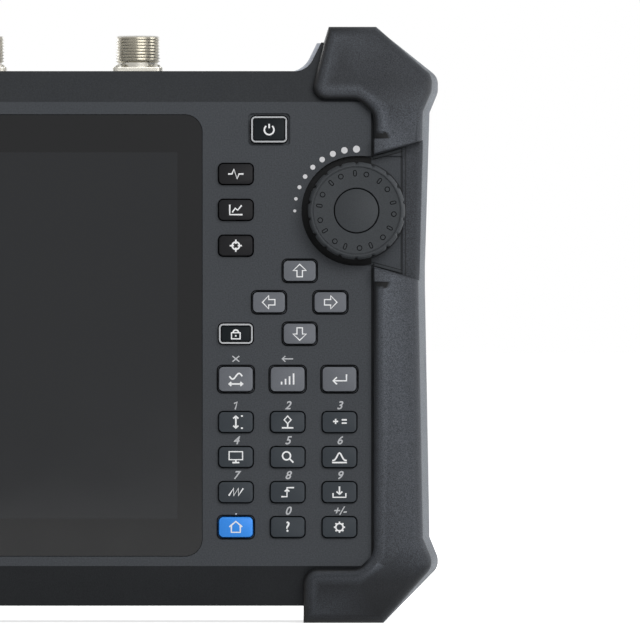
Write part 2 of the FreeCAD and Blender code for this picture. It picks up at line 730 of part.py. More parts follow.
def rear_shell():
    """Rear half of the case with posts, battery bay, speaker grille, port holes and hinge lugs."""
    body = new_body("rear_shell")
    outline = polygon(body, "XZ_Plane", SEAM_Y, case_outline(ZERO, "rear_rim"))
    pad(body, outline, f"{BACK_Y} - {SEAM_Y}")
    round_corners(body, outline, (5, 6), "ear_fillet + rear_rim")
    rear_edge_cut(body, BACK_Y, CASE_TOP, CASE_BOTTOM, "rear_chamfer")
    depth = f"({BACK_Y} - {SEAM_Y} - back_wall)"
    pocket(body, polygon(body, "XZ_Plane", SEAM_Y, inner_outline("side_wall")), f"{depth} - rear_chamfer")
    pocket(body, polygon(body, "XZ_Plane", SEAM_Y, inner_outline("side_wall", "rear_chamfer")), depth)
    battery_bay(body)
    pad(body, circles(body, SEAM_Y, SCREWS, "post_radius"), f"{BACK_Y} - {SEAM_Y} - back_wall / 2")
    pocket(body, circles(body, SEAM_Y, SCREWS, "screw_radius + screw_head_gap"), f"{BACK_Y} - {SEAM_Y} + 1")
    heads = circles(body, BACK_Y, SCREWS, "screw_head_radius + screw_head_gap")
    pocket(body, heads, "screw_head_height", reverse=True)
    seal_outer, seal_inner = inner_outline("seal_inset"), inner_outline("seal_inset + seal_width")
    groove = polygon(body, "XZ_Plane", SEAM_Y, seal_outer, seal_inner)
    pocket(body, groove, "seal_depth")
    port_holes(body)
    steps = (-1, 0, 1)
    grille = [(f"{SPEAKER_X} + {across} * grille_pitch", f"{SPEAKER_Z} + {up} * grille_pitch")
              for across in steps for up in steps]
    pocket(body, circles(body, BACK_Y, grille, "grille_hole_radius"), "back_wall + 1", reverse=True)
    hinge_lugs(body)
    return node(body)


def housing_seal():
    """Rubber cord in the groove round the rear rim."""
    body = new_body("housing_seal")
    outer = inner_outline("seal_inset + seal_fit")
    inner = inner_outline("seal_inset + seal_width - seal_fit")
    pad(body, polygon(body, "XZ_Plane", SEAM_Y, outer, inner), "seal_depth - seal_fit")
    return node(body)


def screw(label, place, head_y, grip):
    """A screw along Y whose head top is at one level and whose shank runs towards the front."""
    across, up = place
    head = rod(f"{label}_head", (across, f"{head_y} - screw_head_height", up), "screw_head_radius",
               "screw_head_height", "y")
    shank_start = (across, f"{head_y} - screw_head_height - {grip}", up)
    shank = rod(f"{label}_shank", shank_start, "screw_radius", grip, "y")
    return fuse(label, [head, shank])


def screws():
    reach = f"({BACK_Y} - screw_head_height - {SEAM_Y} + screw_grip)"
    case = [screw(f"case_screw_{number}", place, BACK_Y, reach) for number, place in enumerate(SCREWS)]
    node(group("housing_screws", case))
    places = [(f"{side}{DOOR_SCREW_X}", BATTERY_Z) for side in ("", "-")]
    reach = "(door_thickness - screw_head_height + screw_grip - screw_head_gap)"
    door = [screw(f"door_screw_{number}", place, BACK_Y, reach) for number, place in enumerate(places)]
    node(group("battery_door_screws", door))


# ---------------------------------------------------------------- bumpers
def bumper_outline(side):
    """Front view of one bumper, from its bottom inner corner and round its outside."""
    right = [
        (f"{CASE_HALF} - bumper_lap - bottom_arm_reach", ZERO),
        (f"{HALF_WIDTH} - bottom_chamfer", ZERO),
        (HALF_WIDTH, "bottom_chamfer"),
        (HALF_WIDTH, "bulge_height"),
        (f"{HALF_WIDTH} - shoulder_inset", "shoulder_height"),
        (f"{HALF_WIDTH} - waist_inset", f"{KNOB_Z} - knob_well_radius - bay_flare"),
        (f"{HALF_WIDTH} - waist_inset", f"{KNOB_Z} - knob_well_radius"),
        (f"{HALF_WIDTH} - shoulder_inset", "overall_height - shoulder_height"),
        (HALF_WIDTH, "overall_height - bulge_height"),
        (HALF_WIDTH, "overall_height - top_chamfer_height"),
        (f"{HALF_WIDTH} - top_chamfer_width", "overall_height"),
        (f"{BUMPER_X} - top_arm_reach + top_arm_lean", "overall_height"),
        (f"{BUMPER_X} - top_arm_reach", f"{PLATEAU_TOP} + panel_groove + arm_chamfer"),
        (f"{BUMPER_X} - top_arm_reach", f"{PLATEAU_TOP} + panel_groove"),
        (f"{BUMPER_X} - arm_chamfer", f"{PLATEAU_TOP} + panel_groove"),
        (BUMPER_X, f"{PLATEAU_TOP} + panel_groove - arm_chamfer"),
        (BUMPER_X, f"{PLATEAU_BOTTOM} - panel_groove + arm_chamfer"),
        (f"{BUMPER_X} - arm_chamfer", f"{PLATEAU_BOTTOM} - panel_groove"),
        (f"{BUMPER_X} - bottom_arm_reach", f"{PLATEAU_BOTTOM} - panel_groove"),
    ]
    return [(f"{side}({across})", up) for across, up in right]


def bumper(label, side):
    """Rubber surround of one end of the case, before the case is taken out of it."""
    body = new_body(f"{label}_block")
    outline = polygon(body, "XZ_Plane", BUMPER_FRONT_Y, bumper_outline(side))
    pad(body, outline, f"{REAR_Y} - {BUMPER_FRONT_Y}")
    round_corners(body, outline, (2, 3, 8, 9, 13, 18), "bumper_fillet")
    slope_cut(body, BUMPER_FRONT_Y, PLATEAU_TOP, PLATEAU_BOTTOM)
    rear_edge_cut(body, REAR_Y, "overall_height", ZERO, "bumper_rear_chamfer")
    return body


def knob_bay(body):
    """The opening beside the knob: open to the panel, then flared down to a low step at the side."""
    low, high = f"({KNOB_Z} - knob_well_radius)", f"({KNOB_Z} + knob_well_radius)"
    inner, outer = f"({BUMPER_X} - 1)", f"({HALF_WIDTH} + 1)"
    bay = [(inner, low), (outer, f"{low} - bay_flare"), (outer, f"{high} + bay_flare"), (inner, high)]
    outline = polygon(body, "XZ_Plane", BUMPER_FRONT_Y, bay)
    pocket(body, outline, f"{BAY_FLOOR_Y} - bay_lip - {BUMPER_FRONT_Y}")
    across = f"({CASE_HALF} - bumper_lap / 2 + bumper_clearance)"
    floor = rectangle(body, BUMPER_FRONT_Y, across, KNOB_Z, "bumper_lap", "2 * knob_well_radius")
    pocket(body, floor, f"{BAY_FLOOR_Y} + 1 - {BUMPER_FRONT_Y}")


def bumpers():
    for label, side in (("right_bumper", ""), ("left_bumper", "-")):
        body = bumper(label, side)
        if side == "":
            knob_bay(body)
        case = new_body(f"{label}_case")
        case_block(case, "bumper_clearance", f"({BACK_Y} + bumper_clearance)")
        rear_edge_cut(case, f"({BACK_Y} + bumper_clearance)", f"({CASE_TOP} + bumper_clearance)",
                      f"({CASE_BOTTOM} - bumper_clearance)", "rear_chamfer")
        node(cut(label, body, [case]))


# ---------------------------------------------------------------- display
def display():
    glass = new_body("display_glass")
    outline = rectangle(glass, PANEL_Y, GLASS_X, GLASS_Z, GLASS_WIDTH, GLASS_HEIGHT)
    pad(glass, outline, "glass_thickness")
    round_corners(glass, outline, range(4), "glass_corner")
    node(glass)
    gasket = new_body("display_gasket")
    outer = corners_of(GLASS_X, GLASS_Z, *DISPLAY)
    inner = corners_of(GLASS_X, GLASS_Z, *WINDOW)
    pad(gasket, polygon(gasket, "XZ_Plane", WALL_Y, outer, inner), "gasket_thickness")
    node(gasket)
    low = (f"{GLASS_X} - {DISPLAY[0]} / 2", DISPLAY_Y, f"{GLASS_Z} - {DISPLAY[1]} / 2")
    node(box("display_module", low, (DISPLAY[0], "display_thickness", DISPLAY[1])))


# ---------------------------------------------------------------- keypad
def key(label, across, up, width, height):
    """Key cap with a lip that seats behind the panel, and a stem that presses its dome."""
    body = new_body(label, (across, PANEL_Y, up))
    lip_level = "(front_wall + key_seat_gap)"
    cap = rectangle(body, "-key_proud", ZERO, ZERO, width, height)
    pad(body, cap, f"key_proud + {lip_level} + key_lip_thickness")
    round_corners(body, cap, range(4), "key_corner")
    lip = rectangle(body, lip_level, ZERO, ZERO, f"{width} + 2 * key_lip", f"{height} + 2 * key_lip")
    pad(body, lip, "key_lip_thickness")
    stem_level = f"({lip_level} + key_lip_thickness)"
    pad(body, circle(body, stem_level, ZERO, ZERO, "key_stem_radius"), "key_stem_length")
    if label in RINGED_KEYS:
        outer = corners_of(ZERO, ZERO, f"{width} + 2", f"{height} + 2")
        inner = corners_of(ZERO, ZERO, f"{width} - 2 * ring_border - 2 * ring_fit",
                           f"{height} - 2 * ring_border - 2 * ring_fit")
        pocket(body, polygon(body, "XZ_Plane", "-key_proud", outer, inner), "ring_depth")
        ring = new_body(f"{label}_ring", (across, PANEL_Y, up))
        frame = polygon(ring, "XZ_Plane", "-key_proud", corners_of(ZERO, ZERO, width, height),
                        corners_of(ZERO, ZERO, f"{width} - 2 * ring_border", f"{height} - 2 * ring_border"))
        pad(ring, frame, "ring_depth - ring_fit")
        round_corners(ring, frame, range(4), "key_corner")
        node(ring)
    return node(body)


def keypad():
    for place in KEYS:
        key(*place)
    board_left = f"({GLASS_X} + {DISPLAY[0]} / 2 + board_margin)"
    board_right = f"({CASE_HALF} - side_wall - board_margin)"
    board_low = f"({PLATEAU_BOTTOM} + side_wall + board_margin)"
    board_high = f"({PLATEAU_TOP} - side_wall - board_margin)"
    size = (f"{board_right} - {board_left}", "board_thickness", f"{board_high} - {board_low}")
    plate = box("keypad_plate", (board_left, KEYPAD_Y, board_low), size)
    gap = "(encoder_width / 2 + board_margin / 2)"
    hole = box("encoder_hole", (f"{KNOB_X} - {gap}", f"{KEYPAD_Y} - 1", f"{KNOB_Z} - {gap}"),
               (f"2 * {gap}", "board_thickness + 2", f"2 * {gap}"))
    node(cut("keypad_board", plate, [hole]))
    domes = [rod(f"{name}_dome", (across, f"{KEYPAD_Y} - dome_height", up), "dome_radius", "dome_height", "y")
             for name, across, up, width, height in KEYS]
    node(group("key_domes", domes))


# ---------------------------------------------------------------- knob
def knob():
    """Tuning knob: notched rim, recess for the button in front, bore for the shaft behind."""
    body = new_body("knob", (KNOB_X, ZERO, KNOB_Z))
    pad(body, circle(body, KNOB_FRONT_Y, ZERO, ZERO, "knob_radius"), f"{KNOB_BACK_Y} - {KNOB_FRONT_Y}")
    chamfer_circles(body, -sheet.get("overall_depth") / 2, sheet.get("knob_radius"), "knob_rim_chamfer")
    pocket(body, circle(body, KNOB_FRONT_Y, ZERO, ZERO, "button_radius"), BUTTON_SEAT)
    pocket(body, circle(body, KNOB_BACK_Y, ZERO, ZERO, "knob_back_radius"), "knob_back_depth", reverse=True)
    bore = circle(body, KNOB_BACK_Y, ZERO, ZERO, "shaft_radius + shaft_fit")
    pocket(body, bore, f"{KNOB_BACK_Y} - {SHAFT_Y}", reverse=True)
    notch = pocket(body, circle(body, KNOB_FRONT_Y, ZERO, "knob_radius", "knob_notch_radius"),
                   f"{KNOB_BACK_Y} - {KNOB_FRONT_Y} + 1")
    doc.recompute()
    pattern = body.newObject("PartDesign::PolarPattern", "notches")
    pattern.Originals = [notch]
    pattern.Axis = (next(axis for axis in body.Origin.OriginFeatures if axis.Role == "Y_Axis"), [""])
    pattern.Angle = 360
    bind(pattern, {"Occurrences": "knob_notch_count"})
    body.Tip = pattern
    node(body)
    start = (KNOB_X, f"{KNOB_FRONT_Y} + button_recess", KNOB_Z)
    node(rod("knob_button", start, "button_radius - button_gap", "button_thickness", "y"))
    shaft_end = f"({WALL_Y} + shaft_insertion)"
    start = (KNOB_X, SHAFT_Y, KNOB_Z)
    node(rod("encoder_shaft", start, "shaft_radius", f"{shaft_end} - {SHAFT_Y}", "y"))
    case = box("encoder_case", (f"{KNOB_X} - encoder_width / 2", WALL_Y, f"{KNOB_Z} - encoder_width / 2"),
               ("encoder_width", f"{FRAME_Y} - assembly_gap - {WALL_Y}", "encoder_width"))
    start = (KNOB_X, BUSH_Y, KNOB_Z)
    bush = rod("encoder_bush", start, "bush_radius", f"{WALL_Y} - {BUSH_Y} + 1", "y")
    bore = rod("encoder_bore", (KNOB_X, f"{BUSH_Y} - 1", KNOB_Z), "shaft_radius + shaft_running_gap",
               f"{shaft_end} + shaft_cover / 2 - {BUSH_Y} + 1", "y")
    node(cut("encoder_body", fuse("encoder_blank", [case, bush]), [bore]))


# ---------------------------------------------------------------- inside
def mid_frame():
    """Metal plate behind the display that carries the keypad board in front and the main board behind."""
    half = f"({CASE_HALF} - side_wall - frame_margin)"
    frame_low = f"({SCREW_BOTTOM_Z} + post_radius + frame_margin)"
    frame_high = f"({SCREW_TOP_Z} - post_radius - frame_margin)"
    size = (f"2 * {half}", "frame_thickness", f"{frame_high} - {frame_low}")
    pieces = [box("frame_plate", (f"-{half}", FRAME_Y, frame_low), size)]
    keypad_back = f"({KEYPAD_Y} + board_thickness)"
    for number, up in enumerate((f"{frame_low} + post_inset", f"{frame_high} - post_inset")):
        for place, across in enumerate((f"({GLASS_X} + {DISPLAY[0]} / 2 + board_margin + standoff_radius)",
                                        f"({half} - standoff_radius)")):
            pieces.append(rod(f"keypad_post_{number}{place}", (across, keypad_back, up), "standoff_radius",
                              f"{FRAME_Y} - {keypad_back} + 1", "y"))
    for number, across in enumerate((-1, 0, 1)):
        for place, up in enumerate((-1, 1)):
            start = (f"{across} * ({MAIN_BOARD[0]} / 2 - post_inset)", f"{FRAME_BACK_Y} - 1",
                     f"overall_height / 2 + {up} * ({MAIN_BOARD[1]} / 2 - post_inset)")
            name = f"board_post_{number}{place}"
            pieces.append(rod(name, start, "standoff_radius", "main_board_standoff + 1", "y"))
    node(fuse("mid_frame", pieces))


def electronics():
    corner = (f"-{MAIN_BOARD[0]} / 2", MAIN_BOARD_Y, f"(overall_height - {MAIN_BOARD[1]}) / 2")
    node(box("main_board", corner, (MAIN_BOARD[0], "board_thickness", MAIN_BOARD[1])))
    back = f"({MAIN_BOARD_Y} + board_thickness)"
    outer = box("shield_outside", ("-shield_width / 2", back, "overall_height / 2 + shield_rise"),
                ("shield_width", "shield_thickness", SHIELD_HEIGHT))
    corner = ("-shield_width / 2 + shield_wall", f"{back} - shield_wall",
              "overall_height / 2 + shield_rise + shield_wall")
    inner = box("shield_inside", corner, ("shield_width - 2 * shield_wall", "shield_thickness",
                                          f"{SHIELD_HEIGHT} - 2 * shield_wall"))
    node(cut("shield_can", outer, [inner]))
    wall = f"({BACK_Y} - back_wall)"
    node(rod("speaker", (SPEAKER_X, f"{wall} - speaker_thickness", SPEAKER_Z), "speaker_radius",
             "speaker_thickness", "y"))


# ---------------------------------------------------------------- ports
def test_port(label, across):
    """Threaded test port: square flange on the case, tail through it, bore for the plug."""
    top = f"({CASE_TOP} + port_flange_thickness + port_thread_length)"
    floor = f"({top} - port_bore_depth)"
    low = (f"{across} - port_flange_width / 2", "port_depth - port_flange_width / 2", CASE_TOP)
    size = ("port_flange_width", "port_flange_width", "port_flange_thickness")
    flange = box(f"{label}_flange", low, size)
    start = (across, "port_depth", CASE_TOP)
    thread = rod(f"{label}_thread", start, "port_thread_radius", f"{top} - {CASE_TOP}")
    start = (across, "port_depth", f"{CASE_TOP} - port_tail_length")
    tail = rod(f"{label}_tail", start, "port_tail_radius", "port_tail_length + 1")
    bore = rod(f"{label}_bore", (across, "port_depth", floor), "port_bore_radius", "port_bore_depth + 1")
    node(cut(label, fuse(f"{label}_blank", [flange, thread, tail]), [bore]))
    start = (across, "port_depth", floor)
    ring = rod(f"{label}_ring", start, "port_bore_radius - shaft_fit", "insulator_height")
    hole = rod(f"{label}_ring_hole", start, "contact_radius + shaft_fit", "insulator_height + 1")
    insulator = cut(f"{label}_insulator", ring, [hole])
    contact = rod(f"{label}_contact", start, "contact_radius", "contact_height")
    return insulator, contact


def ports():
    pairs = [test_port(label, across) for label, across in zip(("test_port_right", "test_port_left"), PORTS)]
    node(group("port_insulators", [insulator for insulator, contact in pairs]))
    node(group("port_contacts", [contact for insulator, contact in pairs]))
    place = (AERIAL_X, "port_depth")
    flange = rod("aerial_flange", (*place, CASE_TOP), "aerial_flange_radius", "aerial_flange_thickness")
    top = f"({CASE_TOP} + aerial_flange_thickness + aerial_length)"
    thread = rod("aerial_thread", (*place, f"{CASE_TOP} - aerial_tail_length"), "aerial_radius",
                 f"{top} - {CASE_TOP} + aerial_tail_length")
    start = (*place, f"{top} - aerial_bore_depth")
    bore = rod("aerial_bore", start, "aerial_bore_radius", "aerial_bore_depth + 1")
    node(cut("aerial_port", fuse("aerial_blank", [flange, thread]), [bore]))


def jacks():
    """The dc jack and the usb port, under the flap and against the inside of the top wall."""
    low = f"({WALL_TOP_Z} - jack_length)"
    place = (DC_X, "port_depth")
    barrel = rod("dc_barrel", (*place, low), "dc_jack_radius", "jack_length")
    bore = rod("dc_bore", (*place, f"{WALL_TOP_Z} - dc_bore_depth"), "dc_bore_radius", "dc_bore_depth + 1")
    pin = rod("dc_pin", (*place, f"{WALL_TOP_Z} - dc_bore_depth - 1"), "dc_pin_radius", "dc_bore_depth")
    node(fuse("dc_jack", [cut("dc_shell", barrel, [bore]), pin]))
    outer = (f"{USB_X} - usb_width / 2 - usb_shell", "port_depth - usb_thickness / 2 - usb_shell", low)
    size = ("usb_width + 2 * usb_shell", "usb_thickness + 2 * usb_shell", "jack_length")
    shell = box("usb_outside", outer, size)
    inner = (f"{USB_X} - usb_width / 2", "port_depth - usb_thickness / 2", f"{WALL_TOP_Z} - usb_bore_depth")
    mouth = box("usb_inside", inner, ("usb_width", "usb_thickness", "usb_bore_depth + 1"))
    node(cut("usb_port", shell, [mouth]))


def port_flap():
    """Hinged flap over the jacks, on a pin between two lugs of the rear shell."""
    low = (f"{JACK_X} - flap_width / 2", f"{FLAP_HINGE_Y} - flap_reach", f"{CASE_TOP} + flap_gap")
    plate = box("flap_plate", low, ("flap_width", "flap_reach", "flap_thickness"))
    axis = (f"{JACK_X} - flap_width / 2", FLAP_HINGE_Y, FLAP_HINGE_Z)
    barrel = rod("flap_barrel", axis, "flap_thickness / 2", "flap_width", "x")
    hole_start = (f"{JACK_X} - flap_width / 2 - 1", FLAP_HINGE_Y, FLAP_HINGE_Z)
    hole = rod("flap_hole", hole_start, "hinge_pin_radius + hinge_pin_gap", "flap_width + 2", "x")
    node(cut("port_flap", fuse("flap_blank", [plate, barrel]), [hole]))
    pin_start = (f"{JACK_X} - flap_width / 2 - hinge_play - flap_lug_width", FLAP_HINGE_Y, FLAP_HINGE_Z)
    length = "flap_width + 2 * (hinge_play + flap_lug_width)"
    node(rod("flap_pin", pin_start, "hinge_pin_radius", length, "x"))


# ---------------------------------------------------------------- battery and stand
def battery():
    floor = f"({BACK_Y} - door_thickness - battery_gap - battery_thickness)"
    node(box("battery_pack", ("-battery_width / 2", floor, "battery_bottom"),
             ("battery_width", "battery_thickness", "battery_height")))
    plate = box("door_plate", (f"-{DOOR_HALF}", f"{BACK_Y} - door_thickness", f"{BATTERY_Z} - {DOOR_HALF_Z}"),
                (f"2 * {DOOR_HALF}", "door_thickness", f"2 * {DOOR_HALF_Z}"))
    tools = []
    for number, side in enumerate(("", "-")):
        across = f"{side}{DOOR_SCREW_X}"
        tools.append(rod(f"door_hole_{number}", (across, f"{BACK_Y} - door_thickness - 1", BATTERY_Z),
                         "screw_radius + screw_head_gap", "door_thickness + 2", "y"))
        tools.append(rod(f"door_sink_{number}", (across, f"{BACK_Y} - screw_head_height", BATTERY_Z),
                         "screw_head_radius + screw_head_gap", "screw_head_height + 1", "y"))
    node(cut("battery_door", plate, tools))


def tilt_stand():
    """U-shaped stand that folds flat against the back, on a pin at the top of each arm."""
    body = new_body("tilt_stand")
    outer, inner = "stand_width / 2", "(stand_width / 2 - stand_bar)"
    foot, axis = "(stand_hinge_height - stand_length)", "stand_hinge_height"
    level = f"({BACK_Y} + stand_back_gap)"
    shape = [(f"-{outer}", foot), (outer, foot), (outer, axis), (inner, axis), (inner, f"{foot} + stand_bar"),
             (f"-{inner}", f"{foot} + stand_bar"), (f"-{inner}", axis), (f"-{outer}", axis)]
    outline = polygon(body, "XZ_Plane", level, shape)
    pad(body, outline, "stand_thickness")
    for side in ("", "-"):
        arm = f"{side}{STAND_ARM_X}"
        barrel = circle(body, arm, STAND_HINGE_Y, axis, "stand_thickness / 2", "YZ_Plane")
        pad(body, barrel, "stand_bar", both=True)
    hole = circle(body, None, STAND_HINGE_Y, axis, "stand_pin_radius + hinge_pin_gap", "YZ_Plane")
    pocket(body, hole, "stand_width + 20", both=True)
    node(body)
    length = "stand_bar + 2 * (hinge_play + stand_lug_width)"
    pins = []
    for number, side in enumerate(("", "-")):
        start = (f"{side}{STAND_ARM_X} - ({length}) / 2", STAND_HINGE_Y, axis)
        pins.append(rod(f"stand_pin_{number}", start, "stand_pin_radius", length, "x"))
    node(group("stand_pins", pins))


# ---------------------------------------------------------------- build
def check(items):
    """Stop if any object failed, or if a piece has no valid shape."""
    failed = [item.Label for item in doc.Objects if {"Invalid", "Error"} & set(item.State)]
    empty = [label for label, item in items.items() if item.Shape.isNull() or not item.Shape.isValid()]
    if failed or empty:
        raise RuntimeError(f"failed: {failed}, no valid shape: {empty}")


front_shell()
rear_shell()
housing_seal()
screws()
bumpers()
display()
keypad()
knob()
mid_frame()
electronics()
ports()
jacks()
port_flap()
battery()
tilt_stand()
doc.recompute()
check(nodes)

os.makedirs("parts", exist_ok=True)
for label, item in nodes.items():
    item.Shape.exportStep(f"parts/{label}.step")
print(len(nodes), "pieces")
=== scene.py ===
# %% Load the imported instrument
import json
from math import atan2, copysign, cos, degrees, exp, hypot, pi, radians, sin, sqrt, tau
import bmesh
import bpy
from mathutils import Matrix, Vector

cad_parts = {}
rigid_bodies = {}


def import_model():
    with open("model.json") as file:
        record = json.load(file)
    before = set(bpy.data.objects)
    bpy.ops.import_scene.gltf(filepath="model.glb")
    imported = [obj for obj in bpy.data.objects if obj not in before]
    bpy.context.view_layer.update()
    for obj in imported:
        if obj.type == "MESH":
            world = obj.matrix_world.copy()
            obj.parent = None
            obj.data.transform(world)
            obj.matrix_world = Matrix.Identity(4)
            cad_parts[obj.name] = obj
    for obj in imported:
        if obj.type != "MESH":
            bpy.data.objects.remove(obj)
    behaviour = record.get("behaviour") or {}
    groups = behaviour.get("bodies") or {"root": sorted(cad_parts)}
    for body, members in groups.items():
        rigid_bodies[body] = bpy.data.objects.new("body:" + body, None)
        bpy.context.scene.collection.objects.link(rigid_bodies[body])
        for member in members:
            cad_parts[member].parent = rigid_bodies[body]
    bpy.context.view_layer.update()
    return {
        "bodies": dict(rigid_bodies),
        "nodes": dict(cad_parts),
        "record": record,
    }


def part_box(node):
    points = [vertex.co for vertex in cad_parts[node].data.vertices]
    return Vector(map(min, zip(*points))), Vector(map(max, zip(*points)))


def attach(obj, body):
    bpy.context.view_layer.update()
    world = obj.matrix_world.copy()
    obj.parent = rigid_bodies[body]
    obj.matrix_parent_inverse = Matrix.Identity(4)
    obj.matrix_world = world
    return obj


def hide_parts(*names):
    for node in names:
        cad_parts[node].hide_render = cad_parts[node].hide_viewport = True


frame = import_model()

# %% [markdown]
# # A field antenna analyzer
# The instrument is a flat grey box between two rubber end bumpers. Its panel faces -Y and Z points
# up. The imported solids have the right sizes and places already, so this script keeps them, softens
# their edges, and adds what a solid model leaves out: rolled rubber, printed signs, marks on the
# knob, threads on the ports, and a finish for everything.

# %% Shared sizes, in metres
MM = 0.001
PANEL_Y = -31.0 * MM
KNOB_CENTRE, WELL_RADIUS = Vector((122.06 * MM, 0, 144.4 * MM)), 19.35 * MM
# the panel is flat between these heights, and leans back by these slopes below and above them
FLAT_LOW, FLAT_HIGH = 20.1 * MM, 182.5 * MM
SLOPE_LOW, SLOPE_HIGH = 7.5 / 14.1, 4.5 / 10.9
# the bay beside the knob gets wider by this slope from here outwards
BAY_START, BAY_FLARE = 127.1 * MM, 0.26775
bodies, nodes = frame["bodies"], frame["nodes"]
# turns a drawing in X and Y to face the front
STAND_UP = Matrix.Rotation(radians(90), 4, "X")

# %% [markdown]
# ## Camera
# A long lens far away shows the panel almost without perspective. It looks straight at the keypad
# side, so the screen side runs out of the picture.

# %% Camera
FRAME_WIDTH = 0.224


def add_object(name, data):
    thing = bpy.data.objects.new(name, data)
    bpy.context.scene.collection.objects.link(thing)
    return thing


lens = bpy.data.cameras.new("camera")
lens.lens, lens.sensor_width, lens.clip_end = 800, 36, 200
camera = add_object("camera", lens)
distance = FRAME_WIDTH * lens.lens / lens.sensor_width
camera.location = (0.1093, PANEL_Y - distance, 0.1062)
camera.rotation_euler = (radians(90), 0, 0)
bpy.context.scene.camera = camera
print("the camera stands", round(distance, 3), "m in front of the panel")

# %% [markdown]
# ## Helpers for finishes
# Every finish is a small node tree on a Principled shader. One helper feeds a node with numbers,
# colours or sockets; others do sums on sockets. Patterns read Object coordinates, so they stay
# fixed to a piece that moves.

# %% Helpers for node trees
def feed(node, **inputs):
    """Write numbers and colours in a node's inputs, and join sockets to them."""
    for name, value in inputs.items():
        target = node.inputs[name.replace("_", " ")]
        if isinstance(value, bpy.types.NodeSocket):
            node.id_data.links.new(value, target)
        else:
            target.default_value = value
    return node


def add_node(owner, kind, **inputs):
    return feed(owner.node_tree.nodes.new(kind), **inputs)


def shader_of(material):
    return material.node_tree.nodes["Principled BSDF"]


def srgb(red, green, blue):
    """A colour as the eye names it, 0 to 255, in the linear numbers that the shader wants."""
    shares = [part / 255 for part in (red, green, blue)]
    return (*(c / 12.92 if c <= 0.04 else ((c + 0.055) / 1.055) ** 2.4 for c in shares), 1.0)


finishes = {}


def new_material(name, colour, roughness, metallic=0.0, specular=0.5):
    material = finishes[name] = bpy.data.materials.new(name)
    material.use_nodes = True
    feed(shader_of(material), Base_Color=srgb(*colour), Roughness=roughness, Metallic=metallic,
         Specular_IOR_Level=specular)
    return material


print("mid grey is", [round(value, 3) for value in srgb(128, 128, 128)[:3]])

# %% Sums on sockets
def mathematics(operation, first, second):
    """A Math node on two sockets, of which one may be a number."""
    tree = (second if isinstance(first, float) else first).id_data
    node = tree.nodes.new("ShaderNodeMath")
    node.operation = operation
    for target, value in zip(node.inputs, (first, second)):
        if isinstance(value, float):
            target.default_value = value
        else:
            tree.links.new(value, target)
    return node.outputs["Value"]


def minus(first, second):
    return mathematics("SUBTRACT", first, second)


def times(first, *others):
    """The product, which for masks is 1 where all of them are."""
    for other in others:
        first = mathematics("MULTIPLY", first, other)
    return first


def remap(value, low, high, new_low=0.0, new_high=1.0):
    node = value.id_data.nodes.new("ShaderNodeMapRange")
    feed(node, Value=value, From_Min=low, From_Max=high, To_Min=new_low, To_Max=new_high)
    return node.outputs["Result"]


def step_mask(value, edge, softness=0.1 * MM):
    """0 below the edge and 1 above it."""
    return remap(value, edge - softness, edge + softness)


def opposite(mask):
    return minus(1.0, mask)


def below(value, edge, softness=0.1 * MM):
    return opposite(step_mask(value, edge, softness))


def band(value, low, high, softness=0.06 * MM):
    """1 between two values and 0 outside them."""
    return minus(step_mask(value, low, softness), step_mask(value, high, softness))


# %% Places, noise and tone
def place_on(material):
    return add_node(material, "ShaderNodeTexCoord").outputs["Object"]


def axes(material, kind="Object"):
    """The three numbers of a point's place on the piece, or of its normal."""
    source = add_node(material, "ShaderNodeTexCoord").outputs[kind]
    split = add_node(material, "ShaderNodeSeparateXYZ", Vector=source)
    return [split.outputs[axis] for axis in "XYZ"]


def noise(place, scale, detail, roughness=0.5):
    node = place.id_data.nodes.new("ShaderNodeTexNoise")
    return feed(node, Vector=place, Scale=scale, Detail=detail, Roughness=roughness).outputs["Fac"]


def emboss(material, height, strength, distance):
    relief = add_node(material, "ShaderNodeBump", Strength=strength, Distance=distance, Height=height)
    feed(shader_of(material), Normal=relief.outputs["Normal"])


def scale_colour(material, factor):
    """Multiply the colour that the shader gets by the number in a socket."""
    base = shader_of(material).inputs["Base Color"]
    colour = base.links[0].from_socket if base.links else base.default_value[:3]
    node = add_node(material, "ShaderNodeVectorMath")
    node.operation = "SCALE"
    feed(node, Vector=colour, Scale=factor)
    feed(shader_of(material), Base_Color=node.outputs["Vector"])


def tone(material, mask, share):
    """Multiply the colour by a share wherever the mask is 1."""
    scale_colour(material, remap(mask, 0.0, 1.0, 1.0, share))


# %% [markdown]
# ## Moulded plastic and rubber
# The mould of a housing is etched, so the plastic gets a fine grain that breaks up the light. Noise
# at the grain's own size drives a little bump and a few percent of brightness. A second, much
# larger noise adds the faint cloudiness of handling, in colour and in roughness. Rubber and print
# get the same tree, so one table holds them all.

# %% Grain
MIDDLE = (0.3, 0.7)  # nearly all of a noise lies between these
CLOUD_SCALE, CLOUD_CONTRAST, CLOUD_ROUGHNESS = 40.0, 0.04, 0.06


def moulded(name, colour, size, bump, contrast, roughness, specular):
    material = new_material(name, colour, roughness, specular=specular)
    place = place_on(material)
    fine = noise(place, 1 / (size * MM), 2.0, 0.6)
    cloud = noise(place, CLOUD_SCALE, 3.0)
    spread = remap(fine, *MIDDLE, 1 - contrast, 1 + contrast)
    scale_colour(material, times(spread, remap(cloud, *MIDDLE, 1 - CLOUD_CONTRAST, 1 + CLOUD_CONTRAST)))
    feed(shader_of(material),
         Roughness=remap(cloud, *MIDDLE, roughness - CLOUD_ROUGHNESS, roughness + CLOUD_ROUGHNESS))
    emboss(material, fine, 1.0, bump * MM)


